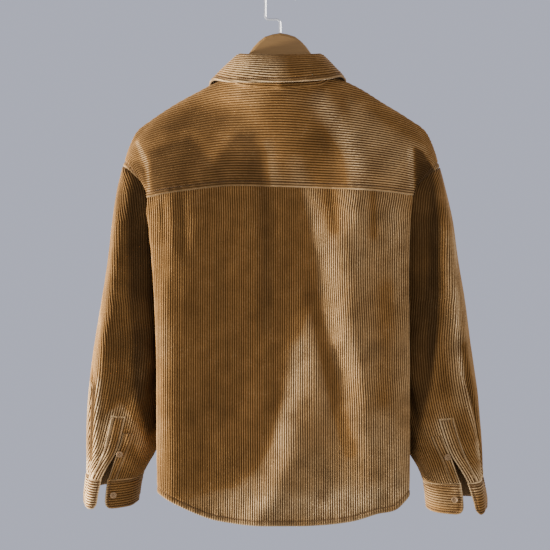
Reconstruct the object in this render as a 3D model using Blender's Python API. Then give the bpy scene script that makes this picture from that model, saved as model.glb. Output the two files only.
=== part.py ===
"""A corduroy shirt jacket hanging on a flat wooden hanger, in metres, +Z up.

The back of the jacket faces -Y and the wearer's right side is at +X. The origin is the inner
top of the hanger's hook, where a rod or a wall hook carries it. Every cloth piece is a thin
wall: its outer points are read from a dense sheet (back, front, left sleeve, right sleeve) that
is worked out from the tables of sizes below, and its inner points lie one cloth thickness in.
"""
import math
from collections import namedtuple

import bmesh
import bpy
import numpy as np
from mathutils.kdtree import KDTree

# ---------------------------------------------------------------- cloth and seams
CLOTH = 0.0018          # one layer of the corduroy
DOUBLE = 0.0030         # collar and cuffs, two layers with interlining
SEAM = 0.0002           # each piece stops this far short of its seam line
LIFT = 0.0004           # a piece that lies on another is this far off it
HALF_GIRTH = 0.27       # length round half a body level, which turns lengths there into shares
CUFF_GIRTH = 0.29       # length round a cuff, which turns lengths there into shares

# ---------------------------------------------------------------- body, half widths by level
CHEST_Z = -0.400        # above this level the cloth draws in to the shoulders
UNDERARM_Z = -0.545
HEM_LOW_Z = -0.930
SIDE_X = 0.187          # side seam
UNDERARM_X = 0.1885
CHEST_X = 0.200         # armhole seam at chest level
ARMHOLE_BACK_Y = 0.036  # how far the armhole seam stands off the side seam at chest level
ARMHOLE_FRONT_Y = 0.045
EDGE_DEPTH = 0.80       # depth of the fold edge, as a share of the depth at the centre

Girth = namedtuple("Girth", "z back_left back_right back_y front_half front_y")
GIRTHS = [
    Girth(-0.930, 0.2000, 0.2110, 0.064, 0.1950, 0.070),
    Girth(-0.780, 0.2014, 0.2124, 0.067, 0.1960, 0.072),
    Girth(-0.600, 0.2030, 0.2116, 0.066, 0.1950, 0.070),
    Girth(-0.500, 0.2080, 0.2116, 0.062, 0.1960, 0.066),
    Girth(-0.400, 0.2175, 0.2140, 0.058, 0.2000, 0.060),
]

# The shoulder line from the neck, over the hanger and down past its end to the armhole seam.
Shoulder = namedtuple("Shoulder", "left left_z right right_z")
SHOULDERS = [
    Shoulder(0.0880, -0.1605, 0.0880, -0.1605),
    Shoulder(0.1294, -0.1836, 0.1364, -0.1836),
    Shoulder(0.1786, -0.2106, 0.1707, -0.2057),
    Shoulder(0.2154, -0.2352, 0.2149, -0.2327),
    Shoulder(0.2399, -0.2548, 0.2444, -0.2548),
    Shoulder(0.2498, -0.2745, 0.2543, -0.2745),
    Shoulder(0.2620, -0.3114, 0.2665, -0.3137),
]
NECK_SHARE = 0.333      # share of each half's columns that end on the neck seam

# The neck seam, by the turn in degrees from the centre of the back.
Neck = namedtuple("Neck", "turn x y z")
NECKS = [
    Neck(0, 0.0000, -0.0560, -0.1840),
    Neck(45, 0.0660, -0.0400, -0.1780),
    Neck(90, 0.0880, 0.0000, -0.1605),
    Neck(105, 0.0855, 0.0175, -0.1690),
    Neck(128, 0.0710, 0.0400, -0.1930),
    Neck(155, 0.0370, 0.0595, -0.2280),
    Neck(180, 0.0000, 0.0660, -0.2460),
]

# Hems and the back yoke seam, by the share of the way from the centre line to the side seam.
Hem = namedtuple("Hem", "share back_left back_right front")
HEMS = [
    Hem(0.00, -0.9045, -0.9045, -0.8760),
    Hem(0.15, -0.9038, -0.9045, -0.8760),
    Hem(0.30, -0.9000, -0.9020, -0.8755),
    Hem(0.45, -0.8925, -0.8960, -0.8740),
    Hem(0.58, -0.8790, -0.8850, -0.8690),
    Hem(0.70, -0.8635, -0.8770, -0.8600),
    Hem(0.78, -0.8520, -0.8590, -0.8520),
    Hem(0.90, -0.8420, -0.8450, -0.8430),
    Hem(1.00, -0.8380, -0.8380, -0.8380),
]
YokeSeam = namedtuple("YokeSeam", "share left right")
YOKE_SEAM = [
    YokeSeam(0.00, -0.3485, -0.3485),
    YokeSeam(0.35, -0.3475, -0.3515),
    YokeSeam(0.60, -0.3540, -0.3545),
    YokeSeam(1.00, -0.3690, -0.3640),
]
FRONT_SEAM_DROP = 0.15  # share of a front column that the yoke covers below the shoulder line
FRONT_SEAM_NECK = 0.23  # share of each half where the front yoke seam meets the neck

# Soft folds of the back and the front: a ridge stands out, a trough has a negative height.
Fold = namedtuple("Fold", "x_top z_top x_low z_low bow width height")
BACK_FOLDS = [
    Fold(0.030, -0.215, 0.040, -0.800, 0.000, 0.085, -0.012),   # hollow between the shoulders
    Fold(-0.172, -0.270, -0.172, -0.960, 0.000, 0.030, 0.007),  # roll beside the left edge
    Fold(0.098, -0.150, 0.130, -0.440, 0.006, 0.026, 0.008),    # right shoulder blade
    Fold(0.030, -0.290, 0.112, -0.740, -0.005, 0.021, -0.010),  # long slanting trough
    Fold(0.088, -0.320, 0.155, -0.880, 0.000, 0.034, 0.009),    # ridge right of it
    Fold(0.088, -0.480, -0.062, -0.960, 0.030, 0.044, 0.009),   # sweep toward the left hem
    Fold(-0.166, -0.300, -0.160, -0.470, 0.000, 0.012, -0.004),
    Fold(-0.022, -0.290, -0.014, -0.440, 0.000, 0.011, -0.0035),
    Fold(0.080, -0.300, 0.094, -0.430, 0.000, 0.010, -0.004),
    Fold(0.152, -0.320, 0.148, -0.440, 0.000, 0.010, -0.003),
    Fold(-0.100, -0.100, -0.090, -0.350, 0.000, 0.018, 0.004),
    Fold(0.000, -0.170, 0.012, -0.350, 0.000, 0.016, 0.003),
]
FRONT_FOLDS = [
    Fold(-0.110, -0.230, -0.070, -0.700, 0.010, 0.040, -0.008),
    Fold(0.115, -0.230, 0.080, -0.640, -0.010, 0.040, -0.007),
    Fold(-0.150, -0.300, -0.140, -0.930, 0.000, 0.030, 0.007),
    Fold(0.150, -0.320, 0.135, -0.940, 0.000, 0.032, 0.006),
    Fold(-0.050, -0.480, -0.085, -0.930, 0.000, 0.026, 0.005),
    Fold(0.070, -0.560, 0.060, -0.950, 0.000, 0.026, 0.004),
]
FOLD_END = 0.22         # share of a fold's length over which it fades at each end

# ---------------------------------------------------------------- sleeves, by level
Arm = namedtuple("Arm", "z outer_left inner_left outer_right inner_right back_y front_y")
ARMS = [
    Arm(-0.3125, 0.2624, 0.2560, 0.2665, 0.2600, 0.004, 0.006),
    Arm(-0.3408, 0.2695, 0.2300, 0.2738, 0.2300, 0.036, 0.040),
    Arm(-0.4046, 0.2792, 0.2000, 0.2880, 0.2000, 0.041, 0.056),
    Arm(-0.4682, 0.2866, 0.1935, 0.2965, 0.1935, 0.043, 0.062),
    Arm(-0.5450, 0.2985, 0.1889, 0.3095, 0.1889, 0.045, 0.068),
    Arm(-0.6021, 0.3080, 0.1945, 0.3165, 0.1950, 0.046, 0.070),
    Arm(-0.6713, 0.3171, 0.1975, 0.3270, 0.1985, 0.046, 0.068),
    Arm(-0.7274, 0.3219, 0.2010, 0.3330, 0.2030, 0.045, 0.064),
    Arm(-0.7863, 0.3243, 0.2085, 0.3378, 0.2150, 0.043, 0.057),
    Arm(-0.8250, 0.3250, 0.2300, 0.3400, 0.2365, 0.041, 0.050),
    Arm(-0.8680, 0.3310, 0.2395, 0.3465, 0.2465, 0.043, 0.048),
    Arm(-0.9000, 0.3330, 0.2420, 0.3480, 0.2480, 0.043, 0.048),
]
ARM_END_Z = -0.900
OUTER_Y = 0.006         # the sleeve's outermost line lies just in front of the hanger's plane

# How far each forearm swings forward.
Swing = namedtuple("Swing", "z left right")
SWINGS = [
    Swing(-0.560, 0.000, 0.000),
    Swing(-0.640, 0.000, 0.000),
    Swing(-0.730, 0.007, 0.003),
    Swing(-0.820, 0.026, 0.012),
    Swing(-0.900, 0.050, 0.024),
]
SLIT = 0.198            # share of the way round, from the underarm by the back, of the slit
CREST_TOP_Z = -0.322    # below this level the sleeve's back rises to a soft crease by its outside
CREST_RUN = 0.100       # height over which the crease comes in
TWIST = 0.102           # how far the columns by the slit turn outward on their way to the cuff
TWIST_HEIGHT = 0.180    # height above the cuff from which they turn
TWIST_POWER = 1.6
SLIT_LENGTH = 0.050     # the part of the slit that gapes
SLIT_HALF_GAP = 0.0050  # half the width that it gapes at the cuff
GAPE_FADE = 0.13        # share on either side of the slit over which the gape fades
TOWER_LENGTH = 0.106    # tower placket, from the cuff up to its squared top
TOWER_SHARE = 0.066     # widths of the tower placket and the underlap, as shares of the girth
UNDERLAP_SHARE = 0.042
PLACKET_BACK = 0.0006   # each of them is held back this far from the slit
CUFF_CORNER = 0.012     # radius of the cuff's lower corners
CUFF_PROUD = 0.0008     # the cuff's outer face stands this far off the sleeve's
CUFF_GAP = 0.0008       # the cuff stops this far short of its seam line

# Top edge of each cuff: its mean level, its rise to the outside and its drop to the back. The
# cuff falls further at the back than at its sides, and its outer end spreads toward its lower edge.
CuffEdge = namedtuple("CuffEdge", "level rise drop fall_back fall_side spread")
CUFF_EDGES = {"left": CuffEdge(-0.8195, 0.0066, 0.0125, 0.0520, 0.0455, 0.004),
              "right": CuffEdge(-0.8326, 0.0060, 0.0030, 0.0550, 0.0430, 0.010)}

# Pleats and folds of the sleeves, by the share of the way round.
ArmFold = namedtuple("ArmFold", "share_top z_top share_low z_low width height")
ARM_FOLDS = {
    "left": [
        ArmFold(0.416, -0.640, 0.441, -0.870, 0.0050, -0.0140),  # pleat above the cuff
        ArmFold(0.180, -0.330, 0.300, -0.640, 0.0200, 0.0040),
        ArmFold(0.330, -0.520, 0.200, -0.700, 0.0180, -0.0040),
        ArmFold(0.120, -0.600, 0.230, -0.790, 0.0140, 0.0045),
        ArmFold(0.620, -0.480, 0.760, -0.700, 0.0200, -0.0060),
        ArmFold(0.860, -0.640, 0.700, -0.820, 0.0180, 0.0050),
    ],
    "right": [
        ArmFold(0.335, -0.620, 0.493, -0.862, 0.0050, -0.0140),
        ArmFold(0.325, -0.480, 0.345, -0.700, 0.0080, -0.0040),
        ArmFold(0.200, -0.330, 0.310, -0.620, 0.0200, 0.0040),
        ArmFold(0.300, -0.560, 0.220, -0.720, 0.0180, -0.0035),
        ArmFold(0.110, -0.620, 0.200, -0.800, 0.0140, 0.0040),
        ArmFold(0.640, -0.470, 0.740, -0.720, 0.0200, -0.0060),
        ArmFold(0.850, -0.650, 0.720, -0.830, 0.0180, 0.0050),
    ],
}

# ---------------------------------------------------------------- collar, by turn from the back
Collar = namedtuple("Collar", "turn fold_x fold_y fold_z edge_x edge_y edge_z")
COLLARS = [
    Collar(0, 0.0000, -0.0500, -0.1345, 0.0000, -0.0690, -0.1780),
    Collar(45, 0.0540, -0.0370, -0.1325, 0.0780, -0.0600, -0.1745),
    Collar(90, 0.0700, -0.0020, -0.1305, 0.1130, -0.0100, -0.1665),
    Collar(125, 0.0630, 0.0330, -0.1520, 0.1130, 0.0480, -0.1960),
    Collar(155, 0.0370, 0.0560, -0.1870, 0.0900, 0.0900, -0.2480),
    Collar(176, 0.0060, 0.0640, -0.2160, 0.0520, 0.1060, -0.2880),
]
COLLAR_END = 176
LEAF_LEAN_X = -0.0040   # the leaf's edge leans to the left,
LEAF_LEAN_Z = 0.0026    # and lies higher at the right and lower at the left
LEAF_BELLY = 0.0040     # how far the leaf bellies out at the back, between its fold and its edge
LEAF_BELLY_SIDE = 0.0005
STAND_THICK = 0.0024
STAND_GAP = 0.0008      # between the neck seam and the stand

# ---------------------------------------------------------------- front band and buttons
BAND_HALF = 0.0185
BAND_PROUD = 0.0008     # the band's outer face stands this far off the fronts
BAND_THICK = 0.0026
BAND_DIP = 0.0026       # how far the right front steps in to pass behind the band
BAND_STEP = 0.0060      # width over which it steps in
BAND_LAP = 0.0150       # how far past the centre line it reaches behind the band
BUTTON_RADIUS = 0.00575
BUTTON_THICK = 0.0026
FRONT_BUTTON_TOP_Z = -0.285
FRONT_BUTTON_STEP = 0.095
FRONT_BUTTONS = 6

# ---------------------------------------------------------------- hanger
HANGER_THICK = 0.012
HANGER_END_X = 0.222
HANGER_ROUND = 0.0045
HANGER_GAP = 0.0008     # between the board's top edge and the lining side of the shoulders
WIRE = 0.0020           # radius of the hook's wire
HOOK_RADIUS = 0.025
HOOK_JOG_Z = -0.0655

# ---------------------------------------------------------------- colours (linear)
CORDUROY = (0.270, 0.135, 0.045)
BUTTON_BROWN = (0.230, 0.130, 0.055)
BEECH = (0.480, 0.300, 0.150)
STEEL = (0.700, 0.700, 0.710)

Sheet = namedtuple("Sheet", "levels shares points")


# ================================================================ curves and tables
def smooth(t):
    t = np.clip(t, 0.0, 1.0)
    return t * t * (3.0 - 2.0 * t)


def mix(a, b, t):
    return a + (b - a) * t


def through(knots, values, at):
    """Read a smooth curve through the values at rising knots."""
    knots = np.asarray(knots, float)
    values = np.asarray(values, float)
    flat = values.ndim == 1
    if flat:
        values = values[:, None]
    step = np.diff(knots)
    slope = np.diff(values, axis=0) / step[:, None]
    tangent = np.empty_like(values)
    tangent[0] = slope[0]
    tangent[-1] = slope[-1]
    weight = (step[1:] / (step[:-1] + step[1:]))[:, None]
    tangent[1:-1] = slope[:-1] * weight + slope[1:] * (1.0 - weight)
    at = np.clip(np.asarray(at, float), knots[0], knots[-1])
    i = np.clip(np.searchsorted(knots, at, side="right") - 1, 0, len(step) - 1)
    h = step[i][..., None]
    t = (at - knots[i])[..., None] / h
    out = (values[i] * (1 + 2 * t) * (1 - t) ** 2 + tangent[i] * h * t * (1 - t) ** 2
           + values[i + 1] * t * t * (3 - 2 * t) + tangent[i + 1] * h * t * t * (t - 1))
    return out[..., 0] if flat else out


def column(table, name):
    return [getattr(row, name) for row in table]


def read(table, key, name, at):
    """Read one column of a table smoothly at a place along its key column."""
    keys = np.array(column(table, key), float)
    order = np.argsort(keys)
    return through(keys[order], np.array(column(table, name), float)[order], at)


def even(points, count):
    """The same curve with a number of points at equal distances."""
    points = np.asarray(points, float)
    chord = np.concatenate([[0], np.cumsum(np.linalg.norm(np.diff(points, axis=0), axis=1))])
    fine = through(chord, points, np.linspace(0, chord[-1], 12 * len(points)))
    run = np.concatenate([[0], np.cumsum(np.linalg.norm(np.diff(fine, axis=0), axis=1))])
    at = np.linspace(0, run[-1], count)
    return np.stack([np.interp(at, run, fine[:, k]) for k in range(fine.shape[1])], axis=1)


def fold_height(folds, x, z):
    """Height of all folds at a place on the back or the front."""
    total = np.zeros_like(x)
    for fold in folds:
        run = (fold.z_top - z) / (fold.z_top - fold.z_low)
        centre = mix(fold.x_top, fold.x_low, run) + fold.bow * 4 * run * (1 - run)
        ends = smooth(run / FOLD_END) * smooth((1 - run) / FOLD_END)
        total += fold.height * ends * np.exp(-((x - centre) / fold.width) ** 2)
    return total


# ================================================================ body
HALF = 60               # dense columns in each half of the back and the front


def body_level(z, face):
    """One level of the back (face -1) or the front (face 1), from the left side to the right."""
    rise = np.clip((z - UNDERARM_Z) / (CHEST_Z - UNDERARM_Z), 0.0, 1.0)
    side_x = mix(SIDE_X, UNDERARM_X, smooth((z + 0.70) / 0.155))
    side_x = mix(side_x, CHEST_X, rise)
    stand_off = ARMHOLE_BACK_Y if face < 0 else ARMHOLE_FRONT_Y
    side_y = face * stand_off * rise ** 0.6
    depth = face * read(GIRTHS, "z", "back_y" if face < 0 else "front_y", z)
    halves = []
    for name in ("left", "right"):
        edge = read(GIRTHS, "z", "back_" + name if face < 0 else "front_half", z)
        edge_y = EDGE_DEPTH * depth
        points = [(0.0, depth), (0.45 * edge, depth), (0.80 * edge, 0.985 * depth),
                  (0.95 * edge, 0.925 * depth), (edge, edge_y),
                  (mix(edge, side_x, 0.15), mix(edge_y, side_y, 0.28)),
                  (mix(edge, side_x, 0.62), mix(edge_y, side_y, 0.66)),
                  (side_x, side_y)]
        half = even(points, HALF + 1)
        if name == "left":
            half = (half * (-1, 1))[::-1]
        halves.append(half)
    line = np.concatenate([halves[0][:-1], halves[1]])
    return np.column_stack([line, np.full(len(line), z)])


def neck_point(turn):
    turn = np.asarray(turn, float)
    side = np.sign(turn)
    place = np.stack([read(NECKS, "turn", n, np.abs(turn)) for n in ("x", "y", "z")], axis=-1)
    place[..., 0] *= side
    return place


def shoulder_line(side, count):
    name = "left" if side < 0 else "right"
    rows = [(side * getattr(r, name), 0.0, getattr(r, name + "_z")) for r in SHOULDERS]
    line = even(rows, count)
    line[:, 1] = 0.004 * smooth(np.linspace(-1, 1, count))
    return line


def body_top(shares, face):
    """Where each column ends, on the neck seam or the shoulder line, and its direction there."""
    ends = np.zeros((len(shares), 3))
    ways = np.zeros((len(shares), 3))
    lines = {-1: shoulder_line(-1, 201), 1: shoulder_line(1, 201)}
    for i, share in enumerate(shares):
        side = -1 if share < 0 else 1
        k = abs(share)
        corner = np.array([-0.58 * side, -0.74 * face, 0.34])
        if k < NECK_SHARE:
            run = k / NECK_SHARE
            turn = 90 * run if face < 0 else 180 - 90 * run
            ends[i] = neck_point(side * max(turn, 1e-6))
            lean = 0.30 if face < 0 else 0.45
            way = mix(np.array([0, -face * lean, 0.95]), corner, smooth(run))
            reach = mix(0.12, 0.08, run)
        else:
            run = (k - NECK_SHARE) / (1 - NECK_SHARE)
            line = lines[side]
            ends[i] = [np.interp(run, np.linspace(0, 1, len(line)), line[:, c]) for c in range(3)]
            way = mix(corner, np.array([0.0, -face, 0.0]), smooth(run / 0.2))
            reach = mix(0.08, 0.12, smooth((run - 0.78) / 0.22))
        ways[i] = way / np.linalg.norm(way) * reach
    return ends, ways


def body_sheet(face):
    """The back or the front from below its hem (by z) to its top edge (by share, past CHEST_Z)."""
    shares = np.linspace(-1, 1, 2 * HALF + 1)
    low = np.linspace(HEM_LOW_Z, CHEST_Z, 81)
    rows = [body_level(z, face) for z in low]
    foot = rows[-1]
    rise = 0.02
    slope = (foot - body_level(CHEST_Z - rise, face)) / rise
    top, way = body_top(shares, face)
    reach = np.linalg.norm(top - foot, axis=1) * 0.9 * (1 + 0.5 * smooth((abs(shares) - 0.8) / 0.2))
    start = slope * reach[:, None]
    climb = np.linspace(0, 1, 49)[1:]
    for t in climb:
        rows.append(foot * (1 + 2 * t) * (1 - t) ** 2 + start * t * (1 - t) ** 2
                    + top * t * t * (3 - 2 * t) + way * t * t * (t - 1))
    points = np.array(rows)
    levels = np.concatenate([low, CHEST_Z + climb])
    folds = BACK_FOLDS if face < 0 else FRONT_FOLDS
    height = fold_height(folds, points[..., 0], points[..., 2])
    side_fade = smooth((1 - abs(shares)) / 0.12)[None, :]
    top_fade = smooth((CHEST_Z + 1 - levels) / 0.5)[:, None]
    points[..., 1] += face * height * side_fade * top_fade
    return Sheet(levels, shares, points)


def sample(sheet, level, share):
    """Points of a dense sheet at the given levels and shares."""
    level = np.clip(level, sheet.levels[0], sheet.levels[-1])
    share = np.clip(share, sheet.shares[0], sheet.shares[-1])
    i = np.clip(np.searchsorted(sheet.levels, level, side="right") - 1, 0, len(sheet.levels) - 2)
    j = np.clip(np.searchsorted(sheet.shares, share, side="right") - 1, 0, len(sheet.shares) - 2)
    s = ((level - sheet.levels[i]) / (sheet.levels[i + 1] - sheet.levels[i]))[..., None]
    t = ((share - sheet.shares[j]) / (sheet.shares[j + 1] - sheet.shares[j]))[..., None]
    p = sheet.points
    return mix(mix(p[i, j], p[i, j + 1], t), mix(p[i + 1, j], p[i + 1, j + 1], t), s)


def outward(sheet, level, share, face):
    """Unit normals of a dense sheet, pointing out of the garment."""
    step = 0.008
    up = sample(sheet, level + step, share) - sample(sheet, level - step, share)
    over = sample(sheet, level, share + step) - sample(sheet, level, share - step)
    normal = np.cross(up, over) * face
    return normal / np.maximum(np.linalg.norm(normal, axis=-1, keepdims=True), 1e-12)


def level_at(sheet, shares, heights):
    """The level at which each column of a body sheet climbs to a height."""
    found = []
    for share, height in zip(np.ravel(shares), np.ravel(heights)):
        z = sample(sheet, sheet.levels, np.full(len(sheet.levels), share))[:, 2]
        found.append(np.interp(height, z, sheet.levels))
    return np.array(found).reshape(np.shape(shares))


def by_side(table, shares, left, right):
    """Read a table's left or right column for each signed share."""
    far = np.abs(shares)
    return np.where(shares < 0, read(table, "share", left, far), read(table, "share", right, far))


# ================================================================ sleeves
ROUND = 128             # dense columns round a sleeve


def arm_level(z, side, back_edge, front_edge):
    """One level of a sleeve, from the armhole or underarm by the back to the front."""
    name = "left" if side < 0 else "right"
    outer = float(read(ARMS, "z", "outer_" + name, z))
    back = -float(read(ARMS, "z", "back_y", z))
    front = float(read(ARMS, "z", "front_y", z))
    if z > UNDERARM_Z:
        ends = []
        for edge in (back_edge, front_edge):
            ends.append([np.interp(z, edge[:, 2], np.abs(edge[:, 0])),
                         np.interp(z, edge[:, 2], edge[:, 1])])
        (back_x, back_end), (front_x, front_end) = ends
        tip = back_edge[-1, 2]
        back = mix(back_end, back, smooth((tip - z) / 0.07))
        front = mix(front_end, front, smooth((tip - z) / 0.07))
    else:
        back_x = front_x = float(read(ARMS, "z", "inner_" + name, z))
        back_end = front_end = 0.012 * smooth((UNDERARM_Z - z) / 0.08)
    outer_y = mix(0.004, OUTER_Y, smooth((-0.3125 - z) / 0.05))
    crest = smooth((CREST_TOP_Z - z) / CREST_RUN)
    seam = smooth((z - UNDERARM_Z + 0.055) / 0.075)
    near, next_near = mix(0.342, 0.10, seam), mix(0.707, 0.42, seam)
    back_w = outer - back_x
    front_w = outer - front_x
    points = [(back_x, back_end),
              (back_x + 0.030 * back_w, mix(back_end, back, near)),
              (back_x + 0.146 * back_w, mix(back_end, back, next_near)),
              (back_x + 0.500 * back_w, back * mix(1.0, 0.90, crest)),
              (back_x + 0.700 * back_w, back * mix(0.94, 1.01, crest)),
              (back_x + mix(0.854, 0.860, crest) * back_w,
               mix(mix(outer_y, back, 0.707), back * 1.06, crest)),
              (back_x + mix(0.950, 0.962, crest) * back_w,
               mix(outer_y, back, mix(0.42, 0.62, crest))),
              (outer, outer_y),
              (front_x + 0.854 * front_w, mix(outer_y, front, 0.707)),
              (front_x + 0.500 * front_w, front),
              (front_x + 0.146 * front_w, mix(front_end, front, next_near)),
              (front_x + 0.030 * front_w, mix(front_end, front, near)),
              (front_x, front_end)]
    line = even(points, ROUND + 1)
    line[:, 0] *= side
    line[:, 1] += read(SWINGS, "z", name, z)
    return np.column_stack([line, np.full(len(line), z)])


def arm_sheet(side, back, front):
    """A whole sleeve with its cuff, from the shoulder tip down past the cuff."""
    edge_levels = {}
    for key, body in (("back", back), ("front", front)):
        edge = sample(body, body.levels, np.full(len(body.levels), float(side)))
        edge_levels[key] = edge[edge[:, 2] >= UNDERARM_Z - 0.001]
    tip = edge_levels["back"][-1, 2]
    run = np.linspace(0, 1, 25)
    upper = tip + (UNDERARM_Z - tip) * run ** 1.7
    levels = np.concatenate([upper, np.linspace(UNDERARM_Z, ARM_END_Z, 61)[1:]])[::-1]
    rows = np.array([arm_level(z, side, edge_levels["back"], edge_levels["front"]) for z in levels])
    shares = np.linspace(0, 1, ROUND + 1)
    centre = rows.mean(axis=1, keepdims=True)
    girth = np.linalg.norm(np.diff(rows, axis=1), axis=2).sum(axis=1)[:, None]
    height = np.zeros(rows.shape[:2])
    for fold in ARM_FOLDS["left" if side < 0 else "right"]:
        along = (fold.z_top - levels[:, None]) / (fold.z_top - fold.z_low)
        off = (shares[None, :] - mix(fold.share_top, fold.share_low, along)) * girth
        ends = smooth(along / FOLD_END) * smooth((1 - along) / FOLD_END)
        height += fold.height * ends * np.exp(-(off / fold.width) ** 2)
    seam_fade = smooth(shares / 0.08) * smooth((1 - shares) / 0.08)
    away = rows - centre
    away[..., 2] = 0
    away /= np.maximum(np.linalg.norm(away, axis=-1, keepdims=True), 1e-9)
    rows = rows + away * (height * seam_fade)[..., None]
    return Sheet(levels, shares, rows)


def arm_share(name, share, z):
    """Share round the dense sleeve of a column, turned outward toward the cuff by the slit."""
    top = cuff_top(name, share)
    turn = TWIST * np.clip((top + TWIST_HEIGHT - z) / TWIST_HEIGHT, 0, 1) ** TWIST_POWER
    return share + turn * smooth(share / 0.2) * smooth((1 - share) / 0.5)


def cuff_top(name, share):
    edge = CUFF_EDGES[name]
    angle = 2 * math.pi * (0.5 - np.asarray(share, float))
    return edge.level + edge.rise * np.cos(angle) - edge.drop * np.sin(angle)


def cuff_fall(name, share):
    """How far the cuff reaches down at a share: further at the back than at its sides."""
    edge = CUFF_EDGES[name]
    toward_back = 0.5 + 0.5 * np.sin(2 * math.pi * (0.5 - np.asarray(share, float)))
    return mix(edge.fall_side, edge.fall_back, toward_back ** 2)


# ================================================================ solids
def material(name, colour, roughness, metallic=0.0):
    made = bpy.data.materials.get(name)
    if made:
        return made
    made = bpy.data.materials.new(name)
    made.use_nodes = True
    shader = made.node_tree.nodes["Principled BSDF"]
    shader.inputs["Base Color"].default_value = (*colour, 1)
    shader.inputs["Roughness"].default_value = roughness
    shader.inputs["Metallic"].default_value = metallic
    return made


def add_object(name, vertices, faces, look):
    mesh = bpy.data.meshes.new(name)
    mesh.from_pydata([tuple(map(float, v)) for v in vertices], [], faces)
    mesh.validate()
    made = bpy.data.objects.new(name, mesh)
    bpy.context.collection.objects.link(made)
    made.data.materials.append(look)
    mesh.shade_smooth()
    mesh.set_sharp_from_angle(angle=math.radians(50))
    return made


def join_close(points, reach=3e-5):
    """Points that lie within reach of each other become one: the points kept, and each's number."""
    tree = KDTree(len(points))
    for i, place in enumerate(points):
        tree.insert(place, i)
    tree.balance()
    number = np.full(len(points), -1)
    kept = []
    for i, place in enumerate(points):
        if number[i] < 0:
            for _, j, _ in tree.find_range(place, reach):
                if number[j] < 0:
                    number[j] = len(kept)
            kept.append(place)
    return np.array(kept), number


def wall(name, patches, thickness, look):
    """A closed wall from grids of outer points and normals, joined where their points meet.

    Each patch is (points, normals, skip): faces run between neighbouring rows and columns,
    except after the column numbered skip.
    """
    every = np.concatenate([patch[0].reshape(-1, 3) for patch in patches])
    outer, joined = join_close(every)
    normals = np.zeros_like(outer)
    triangles = []
    start = 0
    for points, directions, skip in patches:
        rows, cols = points.shape[:2]
        ids = joined[start:start + rows * cols].reshape(rows, cols)
        start += rows * cols
        np.add.at(normals, ids.ravel(), directions.reshape(-1, 3))
        for r in range(rows - 1):
            for c in range(cols - 1):
                if c == skip:
                    continue
                a, b, d, e = ids[r, c], ids[r, c + 1], ids[r + 1, c + 1], ids[r + 1, c]
                for three in ((a, b, d), (a, d, e)):
                    if len(set(three)) == 3:
                        triangles.append(three)
    normals /= np.linalg.norm(normals, axis=1, keepdims=True)
    corners = outer[np.array(triangles)]
    faces_out = np.cross(corners[:, 1] - corners[:, 0], corners[:, 2] - corners[:, 0])
    if (faces_out * normals[np.array(triangles)[:, 0]]).sum() < 0:
        triangles = [(a, c, b) for a, b, c in triangles]
    count = len(outer)
    edges = {}
    for a, b, c in triangles:
        for edge in ((a, b), (b, c), (c, a)):
            edges[edge] = True
    rim = [(b, a) for a, b in edges if (b, a) not in edges]
    faces = list(triangles)
    faces += [(c + count, b + count, a + count) for a, b, c in triangles]
    for b, a in rim:
        faces += [(b, a, a + count), (b, a + count, b + count)]
    return add_object(name, np.vstack([outer, outer - normals * thickness]), faces, look)


def grid(sheet, levels, shares, face, skip=None):
    """Outer points and normals of a sheet over arrays of levels and shares."""
    return [sample(sheet, levels, shares), outward(sheet, levels, shares, face), skip]


def turned(name, profile, centre, axis, sides, look):
    """A closed solid of revolution: profile rows are (radius, height) from bottom to top."""
    axis = np.asarray(axis, float) / np.linalg.norm(axis)
    across = np.cross(axis, (0, 0, 1.0) if abs(axis[2]) < 0.9 else (1.0, 0, 0))
    across /= np.linalg.norm(across)
    third = np.cross(axis, across)
    vertices = []
    for radius, height in profile:
        for k in range(sides):
            angle = 2 * math.pi * k / sides
            vertices.append(centre + axis * height
                            + radius * (across * math.cos(angle) + third * math.sin(angle)))
    faces = []
    for r in range(len(profile) - 1):
        for k in range(sides):
            n = (k + 1) % sides
            faces.append((r * sides + k, r * sides + n, (r + 1) * sides + n, (r + 1) * sides + k))
    faces.append(tuple(reversed(range(sides))))
    faces.append(tuple(range((len(profile) - 1) * sides, len(profile) * sides)))
    return add_object(name, vertices, faces, look)


def button(name, place, normal):
    radius = BUTTON_RADIUS
    profile = [(radius * 0.80, 0.0), (radius, BUTTON_THICK * 0.35), (radius, BUTTON_THICK * 0.75),
               (radius * 0.86, BUTTON_THICK), (radius * 0.66, BUTTON_THICK * 0.62)]
    return turned(name, profile, np.asarray(place), normal, 14,
                  material("button brown", BUTTON_BROWN, 0.35))


# ================================================================ pieces
BODY_SHARES = np.array([0, .06, .12, .18, .23, .28, NECK_SHARE, .40, .47, .54, .61, .68, .74, .80,
                        .85, .89, .925, .96, 1.0])
LOW_ROWS = np.linspace(0, 1, 8)           # hem to underarm level
ARM_ROWS = np.array([.12, .34, .66, 1.0])  # underarm level to chest level
BACK_CHEST_ROWS = np.array([.55, 1.0])    # chest level to the back yoke seam
BACK_YOKE_ROWS = np.array([0, .18, .38, .60, .82, .94, 1.0])
FRONT_CHEST_ROWS = np.array([.25, .5, .72, .88, 1.0])
FRONT_YOKE_ROWS = np.array([0, .40, .74, 1.0])


def seam_end(shares):
    """Shares with the outermost column moved in by the seam's gap."""
    return np.clip(shares, -1 + SEAM / HALF_GIRTH, 1 - SEAM / HALF_GIRTH)


def panel_levels(hems, top_levels, chest_rows):
    """Levels of a panel's rows: hem, underarm, chest and the seam above, per column."""
    rows = [mix(hems, np.full_like(hems, UNDERARM_Z), r) for r in LOW_ROWS]
    rows += [np.full_like(hems, mix(UNDERARM_Z, CHEST_Z, r)) for r in ARM_ROWS]
    rows += [mix(np.full_like(hems, CHEST_Z), top_levels, r) for r in chest_rows]
    return np.array(rows)


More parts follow.
